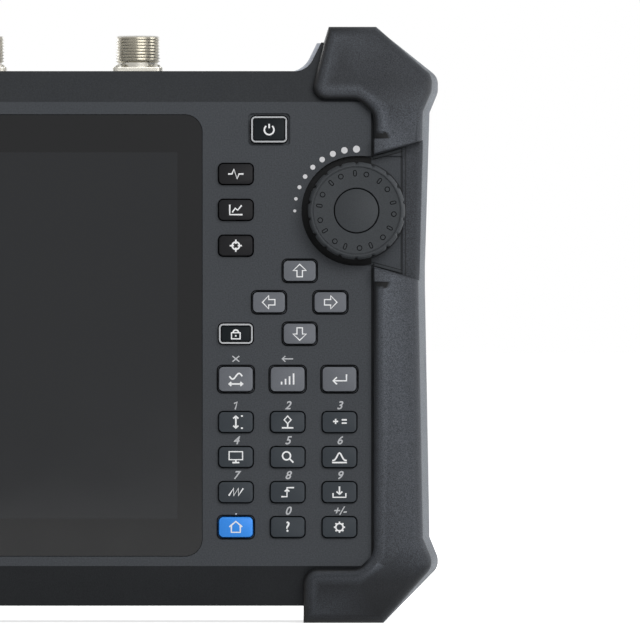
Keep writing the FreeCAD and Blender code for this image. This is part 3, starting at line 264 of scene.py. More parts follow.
# colour, size and height of the grain in mm, contrast, roughness, specular level
MOULDED = {
    "panel_plastic": ((65, 68, 72), 0.5, 0.04, 0.2, 0.62, 0.15),
    "bumper_rubber": ((60, 63, 68), 0.3, 0.1, 0.6, 0.6, 0.2),
    "bumper_rubber_inner_edge": ((60, 63, 68), 0.3, 0.1, 0.6, 0.6, 0.2),
    "rear_housing": ((108, 111, 117), 0.45, 0.05, 0.05, 0.35, 0.5),
    "bay_rib_plastic": ((56, 59, 62), 0.4, 0.04, 0.1, 0.6, 0.15),
    "knob_plastic": ((54, 57, 60), 0.35, 0.05, 0.12, 0.6, 0.2),
    "key_charcoal": ((26, 26, 28), 0.3, 0.02, 0.05, 0.5, 0.1),
    "key_black": ((12, 18, 21), 0.3, 0.02, 0.05, 0.5, 0.1),
    "key_mid_grey": ((56, 61, 66), 0.3, 0.02, 0.05, 0.55, 0.15),
    "key_light_grey": ((105, 108, 114), 0.3, 0.02, 0.05, 0.55, 0.2),
    "key_blue": ((64, 152, 250), 0.3, 0.02, 0.04, 0.45, 0.2),
    "black_plastic": ((24, 24, 26), 0.4, 0.03, 0.08, 0.5, 0.25),
    "groove_black": ((30, 32, 34), 0.4, 0.02, 0.05, 0.7, 0.1),
    "surround_black": ((14, 15, 16), 0.4, 0.02, 0.05, 0.7, 0.03),
    "gasket_foam": ((18, 18, 19), 0.6, 0.08, 0.2, 0.85, 0.25),
    "battery_wrap": ((40, 42, 46), 0.5, 0.02, 0.05, 0.4, 0.25),
    "silver_border": ((178, 180, 183), 0.3, 0.01, 0.03, 0.35, 0.5),
    "port_insulator": ((226, 225, 218), 0.6, 0.01, 0.02, 0.4, 0.25),
    "white_print": ((244, 245, 246), 0.25, 0.003, 0.01, 0.5, 0.25),
    "grey_print": ((192, 194, 197), 0.25, 0.003, 0.01, 0.5, 0.25),
    "dot_print": ((218, 218, 220), 0.25, 0.003, 0.01, 0.5, 0.25),
}
for name, numbers in MOULDED.items():
    moulded(name, *numbers)
print("moulded finishes:", len(finishes))

# %% [markdown]
# ## Painted light on the rubber
# Rubber looks paler along the crest of a rolled edge, and all over at a flat angle of view, where
# dust scatters light. The crest is a painted highlight, with painted shade down the roll and in the
# corners: a number on each vertex of the bumper, from -1 in the deepest painted shade to more than
# 2 on the brightest crest. The paleness at a flat angle is the shader's sheen, which the outer sides
# and the rear housing get. Painted shade also darkens the bumper's sloping ends and the step beside
# the knob, and a painted highlight makes the front rim of the rear housing paler.

# %% Rubber
def from_knob(height):
    """Distance up or down from the knob's axis."""
    return mathematics("ABSOLUTE", minus(height, KNOB_CENTRE.z), 0.0)


def dusty(material, sheen, roughness=0.35):
    feed(shader_of(material), Sheen_Weight=sheen, Sheen_Roughness=roughness,
         Sheen_Tint=(0.85, 0.92, 1.0, 1.0))


def paint_light_on_rubber(material, sheen):
    across, depth, height = axes(material)
    # painted shade: darker sloping ends, a darker step beside the knob, and a darker line along that step
    facing = below(depth, -22 * MM, 3 * MM)
    tone(material, times(facing, step_mask(height, FLAT_HIGH, 7 * MM)), 0.55)
    tone(material, times(facing, below(height, FLAT_LOW + 1 * MM, 6 * MM)), 0.34)
    bay_step = times(below(from_knob(height), 24 * MM), band(depth, -30 * MM, -28 * MM))
    groove_shade_line = band(across, 139.0 * MM, 139.45 * MM)
    tone(material, times(groove_shade_line, bay_step), 0.35)
    tone(material, bay_step, 0.78)
    # painted highlight on the crest and painted shade down the roll, read from the bumper's vertex layer
    painted_light = add_node(material, "ShaderNodeAttribute")
    painted_light.attribute_name = "painted_light"
    scale_colour(material, remap(painted_light.outputs["Fac"], -1.0, 3.0, 0.05, 3.85))
    dusty(material, sheen)


paint_light_on_rubber(finishes["bumper_rubber"], 0.36)
paint_light_on_rubber(finishes["bumper_rubber_inner_edge"], 0.0)
rear = finishes["rear_housing"]
dusty(rear, 0.8, 0.4)
# painted highlight: the rim at the front of the rear housing is made five times paler
tone(rear, below(axes(rear)[1], -9.2 * MM, 0.3 * MM), 5.0)
print("rubber has", len(finishes["bumper_rubber"].node_tree.nodes), "nodes")

# %% [markdown]
# ## The panel
# One moulding has three faces: the flat with the keys, a slope above it and a steeper one below.
# Painted shade darkens the slopes, the sunken floors, the corners of the bay beside the knob, and
# the round well behind the knob to nearly black. Masks made from the place of a point keep it one
# moulding.

# %% Slopes darkened by painted shade
panel = finishes["panel_plastic"]
across, depth, height = axes(panel)
upper = step_mask(height, FLAT_HIGH)
lower = below(height, FLAT_LOW)
tone(panel, upper, 0.46)
tone(panel, lower, 0.29)

# %% Places behind the face, and the bay beside the knob
rise = times(mathematics("MAXIMUM", minus(height, FLAT_HIGH), 0.0), SLOPE_HIGH)
fall = times(mathematics("MAXIMUM", minus(FLAT_LOW, height), 0.0), SLOPE_LOW)
behind = minus(minus(minus(depth, PANEL_Y), rise), fall)
sunk = step_mask(behind, 0.3 * MM)
floors = times(sunk, below(axes(panel, "Normal")[1], -0.7, 0.05))
from_wall = minus(from_knob(height), times(minus(across, BAY_START), BAY_FLARE))
in_bay = step_mask(across, BAY_START + 0.2 * MM)
bay = times(floors, in_bay, below(from_wall, 19.3 * MM))
recess = times(band(across, 84 * MM, 99 * MM), band(height, 167.1 * MM, 178.7 * MM))
# painted shade on sunken floors, at the bay's outer edge, at the foot of its walls and beside the ribs
tone(panel, times(minus(floors, bay), below(behind, 1.5 * MM), opposite(recess)), 0.25)
tone(panel, times(band(across, 137.5 * MM, 138.1 * MM), bay), 0.3)
tone(panel, times(step_mask(from_wall, 18.9 * MM), bay), 0.2)
tone(panel, times(band(from_wall, 17.65 * MM, 18.0 * MM), bay), 0.3)

# %% Painted shade in the well behind the knob and in the openings of the keys
aside, above = minus(across, KNOB_CENTRE.x), minus(height, KNOB_CENTRE.z)
radius = mathematics("POWER", mathematics("ADD", times(aside, aside), times(above, above)), 0.5)
in_well = below(radius, WELL_RADIUS)
# painted shade: the well behind the knob nearly black
tone(panel, times(in_well, sunk, opposite(in_bay)), 0.08)
# painted shadow of the knob on the floor of the bay
tone(panel, times(below(radius, 17.5 * MM), bay), 0.3)
off_slopes = minus(opposite(upper), lower)
openings = times(band(across, 70 * MM, 124 * MM), off_slopes, sunk)
# painted shade in the gaps around the keys
tone(panel, times(openings, opposite(in_well), opposite(recess)), 0.077)
print("panel finish has", len(panel.node_tree.nodes), "nodes")

# %% [markdown]
# ## Metals, glass and boards
# The inner pieces show only when the part is taken apart, but each gets the finish of its trade:
# fine brushing on steel, satin nickel on the ports, green laminate with copper lines.

# %% Brushed and plated metal
LINE_SCALE = 200.0


def brushed(name, colour, roughness, stretch):
    """Metal with fine lines across the stretched axis."""
    material = new_material(name, colour, roughness, metallic=1.0)
    place = add_node(material, "ShaderNodeMapping", Vector=place_on(material), Scale=stretch)
    lines = noise(place.outputs["Vector"], LINE_SCALE, 4.0)
    feed(shader_of(material), Roughness=remap(lines, *MIDDLE, roughness - 0.08, roughness + 0.1))
    emboss(material, lines, 0.3, 0.01 * MM)


brushed("brushed_steel", (168, 170, 174), 0.38, (1, 1, 60))
brushed("screw_zinc", (150, 152, 156), 0.4, (20, 1, 20))
brushed("frame_aluminium", (186, 188, 192), 0.45, (40, 1, 1))
brushed("port_nickel", (190, 187, 178), 0.24, (1, 1, 20))
brushed("contact_gold", (222, 178, 92), 0.25, (1, 1, 20))
print("finishes with the metals:", len(finishes))

# %% Glass over a dark screen, and laminate
def mixed(factor, first, second):
    """One colour where the factor is 0 and the other where it is 1."""
    node = factor.id_data.nodes.new("ShaderNodeMix")
    node.data_type = "RGBA"
    return feed(node, Factor=factor, A=first, B=second).outputs["Result"]


board = new_material("circuit_board", (22, 84, 50), 0.35)
turn = add_node(board, "ShaderNodeMapping", Vector=place_on(board), Rotation=(radians(90), 0, 0))
green, copper = srgb(22, 84, 50), srgb(52, 128, 78)
tracks = add_node(board, "ShaderNodeTexBrick", Vector=turn.outputs["Vector"], Scale=60.0,
                  Mortar_Size=0.012, Color1=green, Color2=green, Mortar=copper)
feed(shader_of(board), Base_Color=tracks.outputs["Color"])

glass = new_material("screen_glass", (9, 10, 12), 0.06, specular=0.3)
smears = noise(place_on(glass), 14.0, 3.0, 0.55)
across, _, height = axes(glass)
screen = times(band(across, -111.5 * MM, 59.4 * MM, 0.2 * MM),
               band(height, 36.7 * MM, 164.9 * MM, 0.2 * MM))
feed(shader_of(glass), Roughness=remap(smears, 0.35, 0.75, 0.04, 0.12),
     Base_Color=mixed(screen, srgb(15, 16, 18), srgb(28, 30, 33)))
print("glass and laminate ready")

# %% [markdown]
# ## Finish for every solid that stays
# The record names a material slot for each solid. A short table turns those slots into finishes.

# %% Hand out the finishes
FINISH_OF_SLOT = {
    "panel": "panel_plastic", "rear": "rear_housing", "bumper": "bumper_rubber", "seal": "gasket_foam",
    "screw": "screw_zinc", "glass": "screen_glass", "gasket": "gasket_foam", "display": "black_plastic",
    "key_dark": "key_charcoal", "key_grey": "key_mid_grey", "key_light": "key_light_grey",
    "key_blue": "key_blue", "ring": "silver_border", "knob": "knob_plastic", "board": "circuit_board",
    "dome": "brushed_steel", "metal": "frame_aluminium", "steel": "brushed_steel",
    "nickel": "port_nickel", "ptfe": "port_insulator", "brass": "contact_gold",
    "black": "black_plastic", "battery": "battery_wrap",
}
slot_of = {part["node"]: part["material_slot"] for part in frame["record"]["subparts"]}


def finish(piece, *names):
    """Put each finish in its slot; clearing the slots would forget which face has which."""
    slots = piece.data.materials
    for place, name in enumerate(names):
        if place < len(slots):
            slots[place] = finishes[name]
        else:
            slots.append(finishes[name])


for name, piece in nodes.items():
    finish(piece, FINISH_OF_SLOT[slot_of[name]])
for name in ("key_power", "key_lock"):
    finish(nodes[name], "key_black")
print("finished", len(nodes), "solids")

# %% [markdown]
# ## Soft edges
# Nothing that comes out of a mould has a knife edge. A live modifier stack does this without
# touching the solid itself: weld the loose triangles, join each flat into one face, then bevel
# every sharp edge by a few tenths of a millimetre.

# %% Soften the edges of a solid
def soften(name, width):
    piece = nodes[name]
    piece.modifiers.new("weld", "WELD").merge_threshold = 1e-6
    flats = piece.modifiers.new("flats", "DECIMATE")
    flats.decimate_type, flats.angle_limit = "DISSOLVE", radians(0.5)
    edge = piece.modifiers.new("edge", "BEVEL")
    edge.width, edge.segments, edge.harden_normals = width * MM, 2, True
    edge.limit_method, edge.angle_limit = "ANGLE", radians(35)
    for polygon in piece.data.polygons:
        polygon.use_smooth = True


key_names = [name for name in nodes if name.startswith("key_") and name in bodies]
for name in key_names:
    soften(name, 0.35)
for name in ("tilt_stand", "port_flap"):
    soften(name, 0.4)
soften("knob_button", 0.25)
print("softened", len(key_names), "keys and three more solids")

# %% [markdown]
# ## End bumpers
# Each bumper is one thick rubber moulding. Its front edge is rolled over with a radius of about
# three millimetres, and the opening beside the knob has crisp cut edges. A copy of the solid fits
# the case already: its flats are joined, and then each family of edges is bevelled with its own
# width. The sloping ends of the front face are straightened first and bent back last, because a
# rolled rim that runs over a fold comes out folded itself.

# %% Copy a solid for remodelling
def join_flats(mesh):
    bmesh.ops.dissolve_limit(mesh, angle_limit=radians(0.5), verts=mesh.verts, edges=mesh.edges)


def solid_copy(name):
    mesh = bmesh.new()
    mesh.from_mesh(nodes[name].data)
    bmesh.ops.remove_doubles(mesh, verts=mesh.verts, dist=1e-6)
    join_flats(mesh)
    return mesh


def new_piece(name, mesh, body, *finish_names, sharp=35):
    """Make an object of a bmesh, smooth between sharp edges, with its finishes, on a body."""
    data = bpy.data.meshes.new(name)
    mesh.to_mesh(data)
    mesh.free()
    data.shade_smooth()
    data.set_sharp_from_angle(angle=radians(sharp))
    piece = add_object(name, data)
    finish(piece, *finish_names)
    piece.modifiers.new("even", "WEIGHTED_NORMAL").keep_sharp = True
    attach(piece, body)
    print(name, "has", len(data.polygons), "faces")
    return piece


def roll(mesh, edges, width, segments, kind="EDGES"):
    """Round edges or corners off, by a width in mm."""
    bmesh.ops.bevel(mesh, geom=edges, offset=width * MM, offset_type="OFFSET", affect=kind,
                    segments=segments, profile=0.5, material=-1, clamp_overlap=False)


def inset(mesh, faces, width):
    """Make a margin of a width in mm inside a group of faces, and return it."""
    return bmesh.ops.inset_region(mesh, faces=faces, thickness=width * MM, use_boundary=True,
                                  use_even_offset=True)["faces"]


def cut(mesh, faces, point, normal):
    """Cut only these faces by a plane, and return what they have become."""
    around = dict.fromkeys(part for face in faces for part in (*face.verts, *face.edges, face))
    made = bmesh.ops.bisect_plane(mesh, geom=list(around), dist=1e-7, plane_co=point, plane_no=normal)
    return [part for part in made["geom"] if isinstance(part, bmesh.types.BMFace)]


# %% Find the bumper's edges by family
BUMPER_FRONT = PANEL_Y - 4.5 * MM
BAY_STEP_Y = -29.25 * MM
INNER_X = 128.1  # mm, the inner edge of the upright part
INNER_CORNERS = ((122.9, 183.4), (INNER_X, 178.2), (INNER_X, 24.4), (122.9, 19.2))  # x and z, mm
NEAR = 0.03 * MM


def slope_back(height):
    """How far the front face leans back at a height; nothing on the flat."""
    return max(0.0, height - FLAT_HIGH) * SLOPE_HIGH + max(0.0, FLAT_LOW - height) * SLOPE_LOW


def on_front(point):
    """True on the front face while its ends are straightened."""
    return abs(point.y - BUMPER_FRONT) < NEAR


def on_back(point):
    """True on the back rim, which is flat, with a 45 degree edge at each end."""
    reach = 40 * MM - max(0.0, point.z - 199 * MM) - max(0.0, 10 * MM - point.z)
    return abs(point.y - reach) < NEAR


def on_bay_step(point):
    return abs(point.y - BAY_STEP_Y) < NEAR and abs(point.x) > 140 * MM


def outside(point):
    """True on the outer side of a bumper, away from the case."""
    return abs(point.x) > 140 * MM or (abs(point.x) > 125 * MM and not 14 * MM < point.z < 188 * MM)


def beside_keys(point):
    return 20.5 * MM < point.z < 118 * MM


def sharp_edges(mesh, test):
    """Edges that turn by more than 30 degrees and whose both ends pass the test."""
    return [edge for edge in mesh.edges
            if len(edge.link_faces) == 2 and edge.calc_face_angle() > radians(30)
            and all(test(vertex.co) for vertex in edge.verts)]


def leaves_the_bay(edge):
    """True for the two slanting edges that run out of the knob's opening."""
    start, end = (vertex.co for vertex in edge.verts)
    beside_knob = all(118 * MM < point.z < 171 * MM for point in (start, end))
    return beside_knob and abs(end.x - start.x) > abs(end.z - start.z)


def inner_corner(edge):
    """True for the front to back edges at the four inner corners of the frame."""
    start, end = (vertex.co for vertex in edge.verts)
    runs_back = abs(start.x - end.x) + abs(start.z - end.z) <= 0.01 * MM
    return runs_back and any(abs(abs(start.x) - x * MM) + abs(start.z - z * MM) < 0.3 * MM
                             for x, z in INNER_CORNERS)


print("the bumper's face is at", round(BUMPER_FRONT / MM, 2), "mm")

# %% Straighten the front face, and bend it back
WALL_FOLD = -8 * MM  # the side wall leans in ahead of this depth
# the slanting inner edge of the ear: where it starts, how it leans, and how much steeper it gets
EAR_X, EAR_Z, EAR_LEAN, EAR_STEEPER = 106.8 * MM, 188.6 * MM, 8.3 / 20.4, 0.15
TOP = 209 * MM
SIDE_LEAN, LEAN_DEPTH, LEAN_FADE = 2.4 * MM, 24.5 * MM, 18 * MM


def straighten(mesh):
    """Bring the sloping ends of the front face level with its middle."""
    for vertex in mesh.verts:
        if abs(vertex.co.y - BUMPER_FRONT - slope_back(vertex.co.z)) < 2 * NEAR:
            vertex.co.y = BUMPER_FRONT
    mesh.normal_update()
    join_flats(mesh)


def steepen_ear(mesh):
    """Turn the ear's inner edge on the front half, and merge the short edges at the arm's tip."""
    arm = [vertex for vertex in mesh.verts if abs(vertex.co.x) < 108 * MM and vertex.co.z > 187 * MM]
    bmesh.ops.remove_doubles(mesh, verts=arm, dist=0.65 * MM)
    cut(mesh, mesh.faces, (0, WALL_FOLD, 0), (0, 1, 0))
    for point in (vertex.co for vertex in mesh.verts):
        up = point.z - EAR_Z
        off = abs(point.x) - EAR_X - up * EAR_LEAN
        if up > 0 and point.y < WALL_FOLD - 0.01 * MM and abs(off) < 0.3 * MM:
            point.x -= copysign(up * EAR_STEEPER, point.x)


def bend(mesh):
    """Fold the ends of the front face back again, with the rolled rim."""
    ahead = [face for face in mesh.faces if all(v.co.y < WALL_FOLD + 0.1 * MM for v in face.verts)]
    for fold in (FLAT_HIGH, FLAT_LOW):
        ahead = cut(mesh, ahead, (0, 0, fold), (0, 0, 1))
    for point in (vertex.co for vertex in mesh.verts):
        if point.y < BUMPER_FRONT + 2.85 * MM:
            point.y += slope_back(point.z)


def lean_side_wall(mesh):
    """Lean the outer wall in towards the front, less and less near both ends."""
    for point in (vertex.co for vertex in mesh.verts):
        point.z = max(0.0, min(TOP, point.z))
        if outside(point) and point.y < WALL_FOLD:
            ends = min(1.0, point.z / LEAN_FADE, (TOP - point.z) / LEAN_FADE)
            lean = min(1.0, (WALL_FOLD - point.y) / LEAN_DEPTH) * max(0.0, ends)
            point.x -= copysign(SIDE_LEAN * lean, point.x)


# %% Painted highlight on the crest of the roll, and painted shade down it
# points in mm and directions in degrees of the lines where the crest's painted highlight has faded out
FADE_LINES = ((134.4, 100, 0), (112.4, 186.2, -22), (120, 189.4, 90), (129.7, 185, 45),
              (120, 13.2, 90), (129.7, 17.6, -45), (109.5, 10, 0))


def crest_painted_light(point, inside):
    """Painted light at the top of the roll, or a little inside it, by what the edge faces: mostly a
    painted highlight, and painted shade on the outer side below 19 mm.
    """
    if outside(point):
        return 0.3 if point.z > 19 * MM else -0.5
    if beside_keys(point):
        return 0.25 if inside else 0.1
    if point.z < 20.5 * MM:
        return 2.2 if inside else 1.2
    return 0.95 if inside else 0.4


def paint_crest_and_roll_light(mesh):
    """Write the painted highlight of the crest, which fades over the face, and the painted shade down the
    roll; return its layer.
    """
    painted_light = mesh.verts.layers.float.new("painted_light")
    face = [face for face in mesh.faces if all(on_front(vertex.co) for vertex in face.verts)]
    margin = inset(mesh, face, 0.8)
    inner_ring = {vertex for part in face for vertex in part.verts}
    for vertex in {vertex for part in margin for vertex in part.verts} | inner_ring:
        vertex[painted_light] = crest_painted_light(vertex.co, vertex in inner_ring)
    side = copysign(1, face[0].verts[0].co.x)
    for x, z, angle in FADE_LINES:
        turn = radians(angle)
        face = cut(mesh, face, (side * x * MM, 0, z * MM), (side * cos(turn), 0, sin(turn)))
    inside_face = set(face)
    for vertex in mesh.verts:
        deep = (vertex.co.y - BUMPER_FRONT) / MM
        if on_bay_step(vertex.co) or inside_face.issuperset(vertex.link_faces):
            vertex[painted_light] = 0.0
        # painted shade down the roll, darker further behind the face
        elif 0.05 < deep < 6 and not outside(vertex.co):
            fall = 0.15 if beside_keys(vertex.co) else 1.8
            vertex[painted_light] = max(-0.9, crest_painted_light(vertex.co, False) - fall * deep)
    return painted_light


# %% Scooped ends of the roll beside the knob
def scoop(mesh, painted_light, tip, edge, end):
    """Widen the inner roll from the tip to the edge, and let it run out sharp from there to the end."""
    step = 0.12 if end > edge else -0.12
    heights = [tip + (edge - tip) * share for share in (0, 0.06, 0.2, 0.42, 0.7, 1)] + [edge + step]
    near = [face for face in mesh.faces if all(on_front(v.co) for v in face.verts) or
            all(127 * MM < v.co.x < 132 * MM and v.co.y < -30 * MM for v in face.verts)]
    for height in heights:
        near = cut(mesh, near, (0, 0, height * MM), (0, 0, 1))
    for vertex in mesh.verts:
        point = vertex.co
        away, level = point.x / MM - INNER_X, point.z / MM
        if -0.01 < away < 3.7 and point.y < -32 * MM:
            share = (level - tip) / (edge - tip)
            if 0.01 < share <= 1.001:
                point.x += away * 0.75 * sqrt(1 - (1 - min(share, 1)) ** 2) * MM
                # painted shade under the top of the widened roll
                if 0.3 < away < 3.2 and share > 0.7 * (1 - away / 2.8):
                    vertex[painted_light] = -1.0
            elif (level - edge - step / 2) * step > 0 and (end - level) * step > -0.3:
                point.x -= away * 0.88 * MM
                vertex[painted_light] = 0.0


# %% Roll the edges, then lean the side wall
def bumper(name):
    mesh = solid_copy(name)
    straighten(mesh)
    steepen_ear(mesh)
    roll(mesh, [edge for edge in mesh.edges if inner_corner(edge)], 2.2, 4)
    roll(mesh, [edge for edge in sharp_edges(mesh, on_front) if not leaves_the_bay(edge)], 2.8, 5)
    roll(mesh, sharp_edges(mesh, on_bay_step), 2.0, 4)
    roll(mesh, [edge for edge in sharp_edges(mesh, on_front) if leaves_the_bay(edge)], 0.35, 2)
    roll(mesh, sharp_edges(mesh, on_back), 3.0, 4)
    painted_light = paint_crest_and_roll_light(mesh)
    for part in mesh.faces:
        centre = part.calc_center_median()
        part.material_index = int(not on_front(centre) and not outside(centre) and centre.y < 20 * MM)
    if name == "right_bumper":
        scoop(mesh, painted_light, 172.3, 169.7, 163.0)
        scoop(mesh, painted_light, 117.1, 119.6, 126.0)
    bend(mesh)
    lean_side_wall(mesh)
    return mesh


for side in ("right_bumper", "left_bumper"):
    piece = new_piece(side + "_rubber", bumper(side), "case", "bumper_rubber", "bumper_rubber_inner_edge")
    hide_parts(side)

# %% [markdown]
# ## Rear housing and its screws
# The back is one moulding with a wide chamfer and a lid for the battery. Its long edges are rolled
# and its tiny speaker holes stay crisp, which a live bevel can't do, since its width shrinks to fit
# the smallest hole. Each screw head is a flat disc: inset, pushed into a hexagon, and inset again
# with a depth to make the socket, whose floor gets a dark finish as painted shade.

# %% Rear housing
BACK_LEVELS = {31.5, 35.5}  # mm, where the chamfer starts and the flat of the back


def back_edges(mesh, test):
    """Long sharp edges on the outside of the back that pass the test."""
    return [edge for edge in mesh.edges
            if {round(vertex.co.y / MM, 1) for vertex in edge.verts} <= BACK_LEVELS
            and edge.calc_length() > 4 * MM and test(edge.verts[0].co)
            and len(edge.link_faces) == 2 and edge.calc_face_angle() > radians(20)]


def around_lid(point):
    return abs(point.x) < 64 * MM and 14 * MM < point.z < 108 * MM


mesh = solid_copy("rear_shell")
roll(mesh, back_edges(mesh, lambda point: not around_lid(point)), 0.9, 3)
roll(mesh, back_edges(mesh, around_lid), 0.4, 2)
housing = new_piece("rear_housing_moulding", mesh, "case", "rear_housing")
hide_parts("rear_shell")
mesh = solid_copy("battery_door")
roll(mesh, back_edges(mesh, around_lid), 0.4, 2)
lid = new_piece("battery_lid_moulding", mesh, "case", "rear_housing")
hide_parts("battery_door")

# %% Screw heads with a hexagon socket
SOCKET_RADIUS, SOCKET_DEPTH, HEADS_BEHIND = 1.5 * MM, 1.2 * MM, 35.4 * MM


def hexagon(turn):
    """How far a hexagon's side is from its centre at an angle, with its corners at 1."""
    return cos(pi / 6) / cos(turn % (pi / 3) - pi / 6)


def socket_screws(name, new_name):
    mesh = solid_copy(name)
    mesh.normal_update()
    heads = [face for face in mesh.faces
             if face.normal.y > 0.9 and face.calc_center_median().y > HEADS_BEHIND]
    for head in heads:
        centre = head.calc_center_median()
        head_radius = max((vertex.co - centre).length for vertex in head.verts)
        for rim in (0.3 * MM, head_radius - 1.75 * MM):
            bmesh.ops.inset_individual(mesh, faces=[head], thickness=rim, depth=0.0)
        for vertex in head.verts:
            spoke = vertex.co - centre
            vertex.co = centre + spoke.normalized() * SOCKET_RADIUS * hexagon(atan2(spoke.z, spoke.x))
        bmesh.ops.inset_individual(mesh, faces=[head], thickness=0.03 * MM, depth=-SOCKET_DEPTH)
        # painted shade on the socket's floor
        head.material_index = 1
    print(name, "has", len(heads), "heads")
    piece = new_piece(new_name, mesh, "case", "screw_zinc", "groove_black", sharp=25)
    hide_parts(name)


socket_screws("housing_screws", "housing_socket_screws")
socket_screws("battery_door_screws", "lid_socket_screws")

# %% [markdown]
# The floor of the knob's opening carries a low rib along each slanting wall, where the rubber
# locks into the case. Each rib is one flat outline, extruded forward until it stands just proud.

# %% Ribs beside the slanting walls
def outwards(mesh):
    bmesh.ops.recalc_face_normals(mesh, faces=mesh.faces)


def prism(mesh, outline, level, reach):
    """Draw an outline of x and z in mm at a level along Y, and extrude it from there."""
    corners = [mesh.verts.new((x * MM, level, z * MM)) for x, z in outline]
    made = bmesh.ops.extrude_face_region(mesh, geom=[mesh.faces.new(corners)])
    moved = [part for part in made["geom"] if isinstance(part, bmesh.types.BMVert)]
    bmesh.ops.translate(mesh, vec=(0, reach, 0), verts=moved)


RIB_ENDS, RIB_FACES = (128.2, 137.5), (18.9, 18.0)  # mm along X, and from the knob's axis
mesh = bmesh.new()
for side in (1, -1):
    outline = [(x, KNOB_CENTRE.z / MM + side * (start + (x - BAY_START / MM) * BAY_FLARE))
               for start, ends in zip(RIB_FACES, (RIB_ENDS, RIB_ENDS[::-1])) for x in ends]
    prism(mesh, outline, -29.0 * MM, -1.7 * MM)
outwards(mesh)
roll(mesh, mesh.edges[:], 0.1, 2)
new_piece("bay_ribs", mesh, "case", "bay_rib_plastic")

# %% [markdown]
# ## Tuning knob
# A knob is a turned shape: a profile spun about the axis gives its rolled rim and its shallow dish.
# The eighteen grip notches are pressed in afterwards by moving the rim's vertices towards the axis.

# %% Spin a profile
def lathe(mesh, profile, centre, axis="Y", steps=360):
    """Spin a closed profile of (radius, distance along the axis) points, in mm, about the centre."""
    along = Vector((0, axis == "Y", axis == "Z"))
    ring = [mesh.verts.new(centre + Vector((r * MM, 0, 0)) + along * level * MM) for r, level in profile]
    edges = [mesh.edges.new((ring[i - 1], ring[i])) for i in range(len(ring))]
    bmesh.ops.spin(mesh, geom=ring + edges, cent=centre, axis=along, angle=tau, steps=steps,
                   use_merge=True)
    bmesh.ops.remove_doubles(mesh, verts=mesh.verts, dist=1e-7)
    outwards(mesh)


# degrees from notch to notch and to a notch's side, its depth, and where it starts, in mm
NOTCH_PITCH, NOTCH_HALF, NOTCH_DEPTH, NOTCH_START = 20, 2.1, 0.55, 16.0
mesh = bmesh.new()
lathe(mesh, [(7.95, -29.6), (7.95, -39.55), (8.15, -39.75), (15.0, -39.75), (15.12, -39.6),
             (15.28, -39.6), (15.45, -39.92), (15.7, -40), (15.95, -39.95), (16.6, -39.45),
             (16.9, -38.8), (17, -38.1), (17, -30.0), (16.6, -29.5), (8.2, -29.5)], KNOB_CENTRE)
for vertex in mesh.verts:
    spoke = vertex.co - KNOB_CENTRE
    radius_mm = hypot(spoke.x, spoke.z) / MM
    turn = degrees(atan2(spoke.z, spoke.x)) - 90
    off = (turn + NOTCH_PITCH / 2) % NOTCH_PITCH - NOTCH_PITCH / 2
    if radius_mm > NOTCH_START and abs(off) < NOTCH_HALF:
        ramp = min(1.0, (radius_mm - NOTCH_START) / 0.6)
        deep = NOTCH_DEPTH * sqrt(1 - (off / NOTCH_HALF) ** 2) * ramp
        vertex.co.x -= spoke.x / radius_mm * deep
        vertex.co.z -= spoke.z / radius_mm * deep
knob = new_piece("knob_grip", mesh, "knob", "knob_plastic")
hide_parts("knob")

# %% [markdown]
# ## Threaded ports
# The ports are turned too. A thread is a stack of ridges, so its profile steps in and out. A square
# flange with four screws holds each test port, and the aerial port sits on a hexagon.

# %% Threads
PORT_Y = 12 * MM
FLANGE_TOP = 195.4 * MM
FLANGE_SCREW = [(0.6, 195.3), (0.6, 196.3), (1.2, 196.3), (1.5, 196.0), (1.5, 195.3)]


def ridges(radius, depth, high, low, pitch):
    """Profile points of a thread, from its top down."""
    count = int((high - low) / pitch)
    return [(radius - depth * (turn % 2), high - turn * pitch / 2) for turn in range(2 * count + 1)]


def test_port(name, centre_x):
    mesh = bmesh.new()
    centre = Vector((centre_x * MM, PORT_Y, 0))
    lathe(mesh, [(2.0, 193.5), (2.0, 197.4), (4.5, 197.4), (4.5, 206.1), (4.8, 206.4), (7.0, 206.4),
                 *ridges(7.9, 0.6, 205.9, 197.5, 1.05), (7.0, 197.0), (7.0, 193.5)], centre, "Z", 96)
    for x in (-6.4, 6.4):
        for y in (-6.4, 6.4):
            spot = centre + Vector((x, y, 0)) * MM
            lathe(mesh, FLANGE_SCREW, spot, "Z", 32)
    before = set(mesh.verts)
    plate = bmesh.ops.create_cube(mesh, size=1.0)["verts"]
    bmesh.ops.scale(mesh, vec=(17.4 * MM, 17.4 * MM, 2 * MM), verts=plate)
    bmesh.ops.translate(mesh, vec=centre + Vector((0, 0, FLANGE_TOP - 1 * MM)), verts=plate)
    upright = [edge for edge in {edge for vertex in plate for edge in vertex.link_edges}
               if abs(edge.verts[0].co.z - edge.verts[1].co.z) > MM]
    roll(mesh, upright, 1.8, 5)
    top = [edge for edge in mesh.edges
           if all(vertex.co.z > FLANGE_TOP - 0.01 * MM and vertex not in before for vertex in edge.verts)]
    roll(mesh, top, 0.25, 2)
    piece = new_piece(name + "_turned", mesh, "case", "port_nickel")
    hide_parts(name)


test_port("test_port_right", 45.0)
test_port("test_port_left", -10.0)

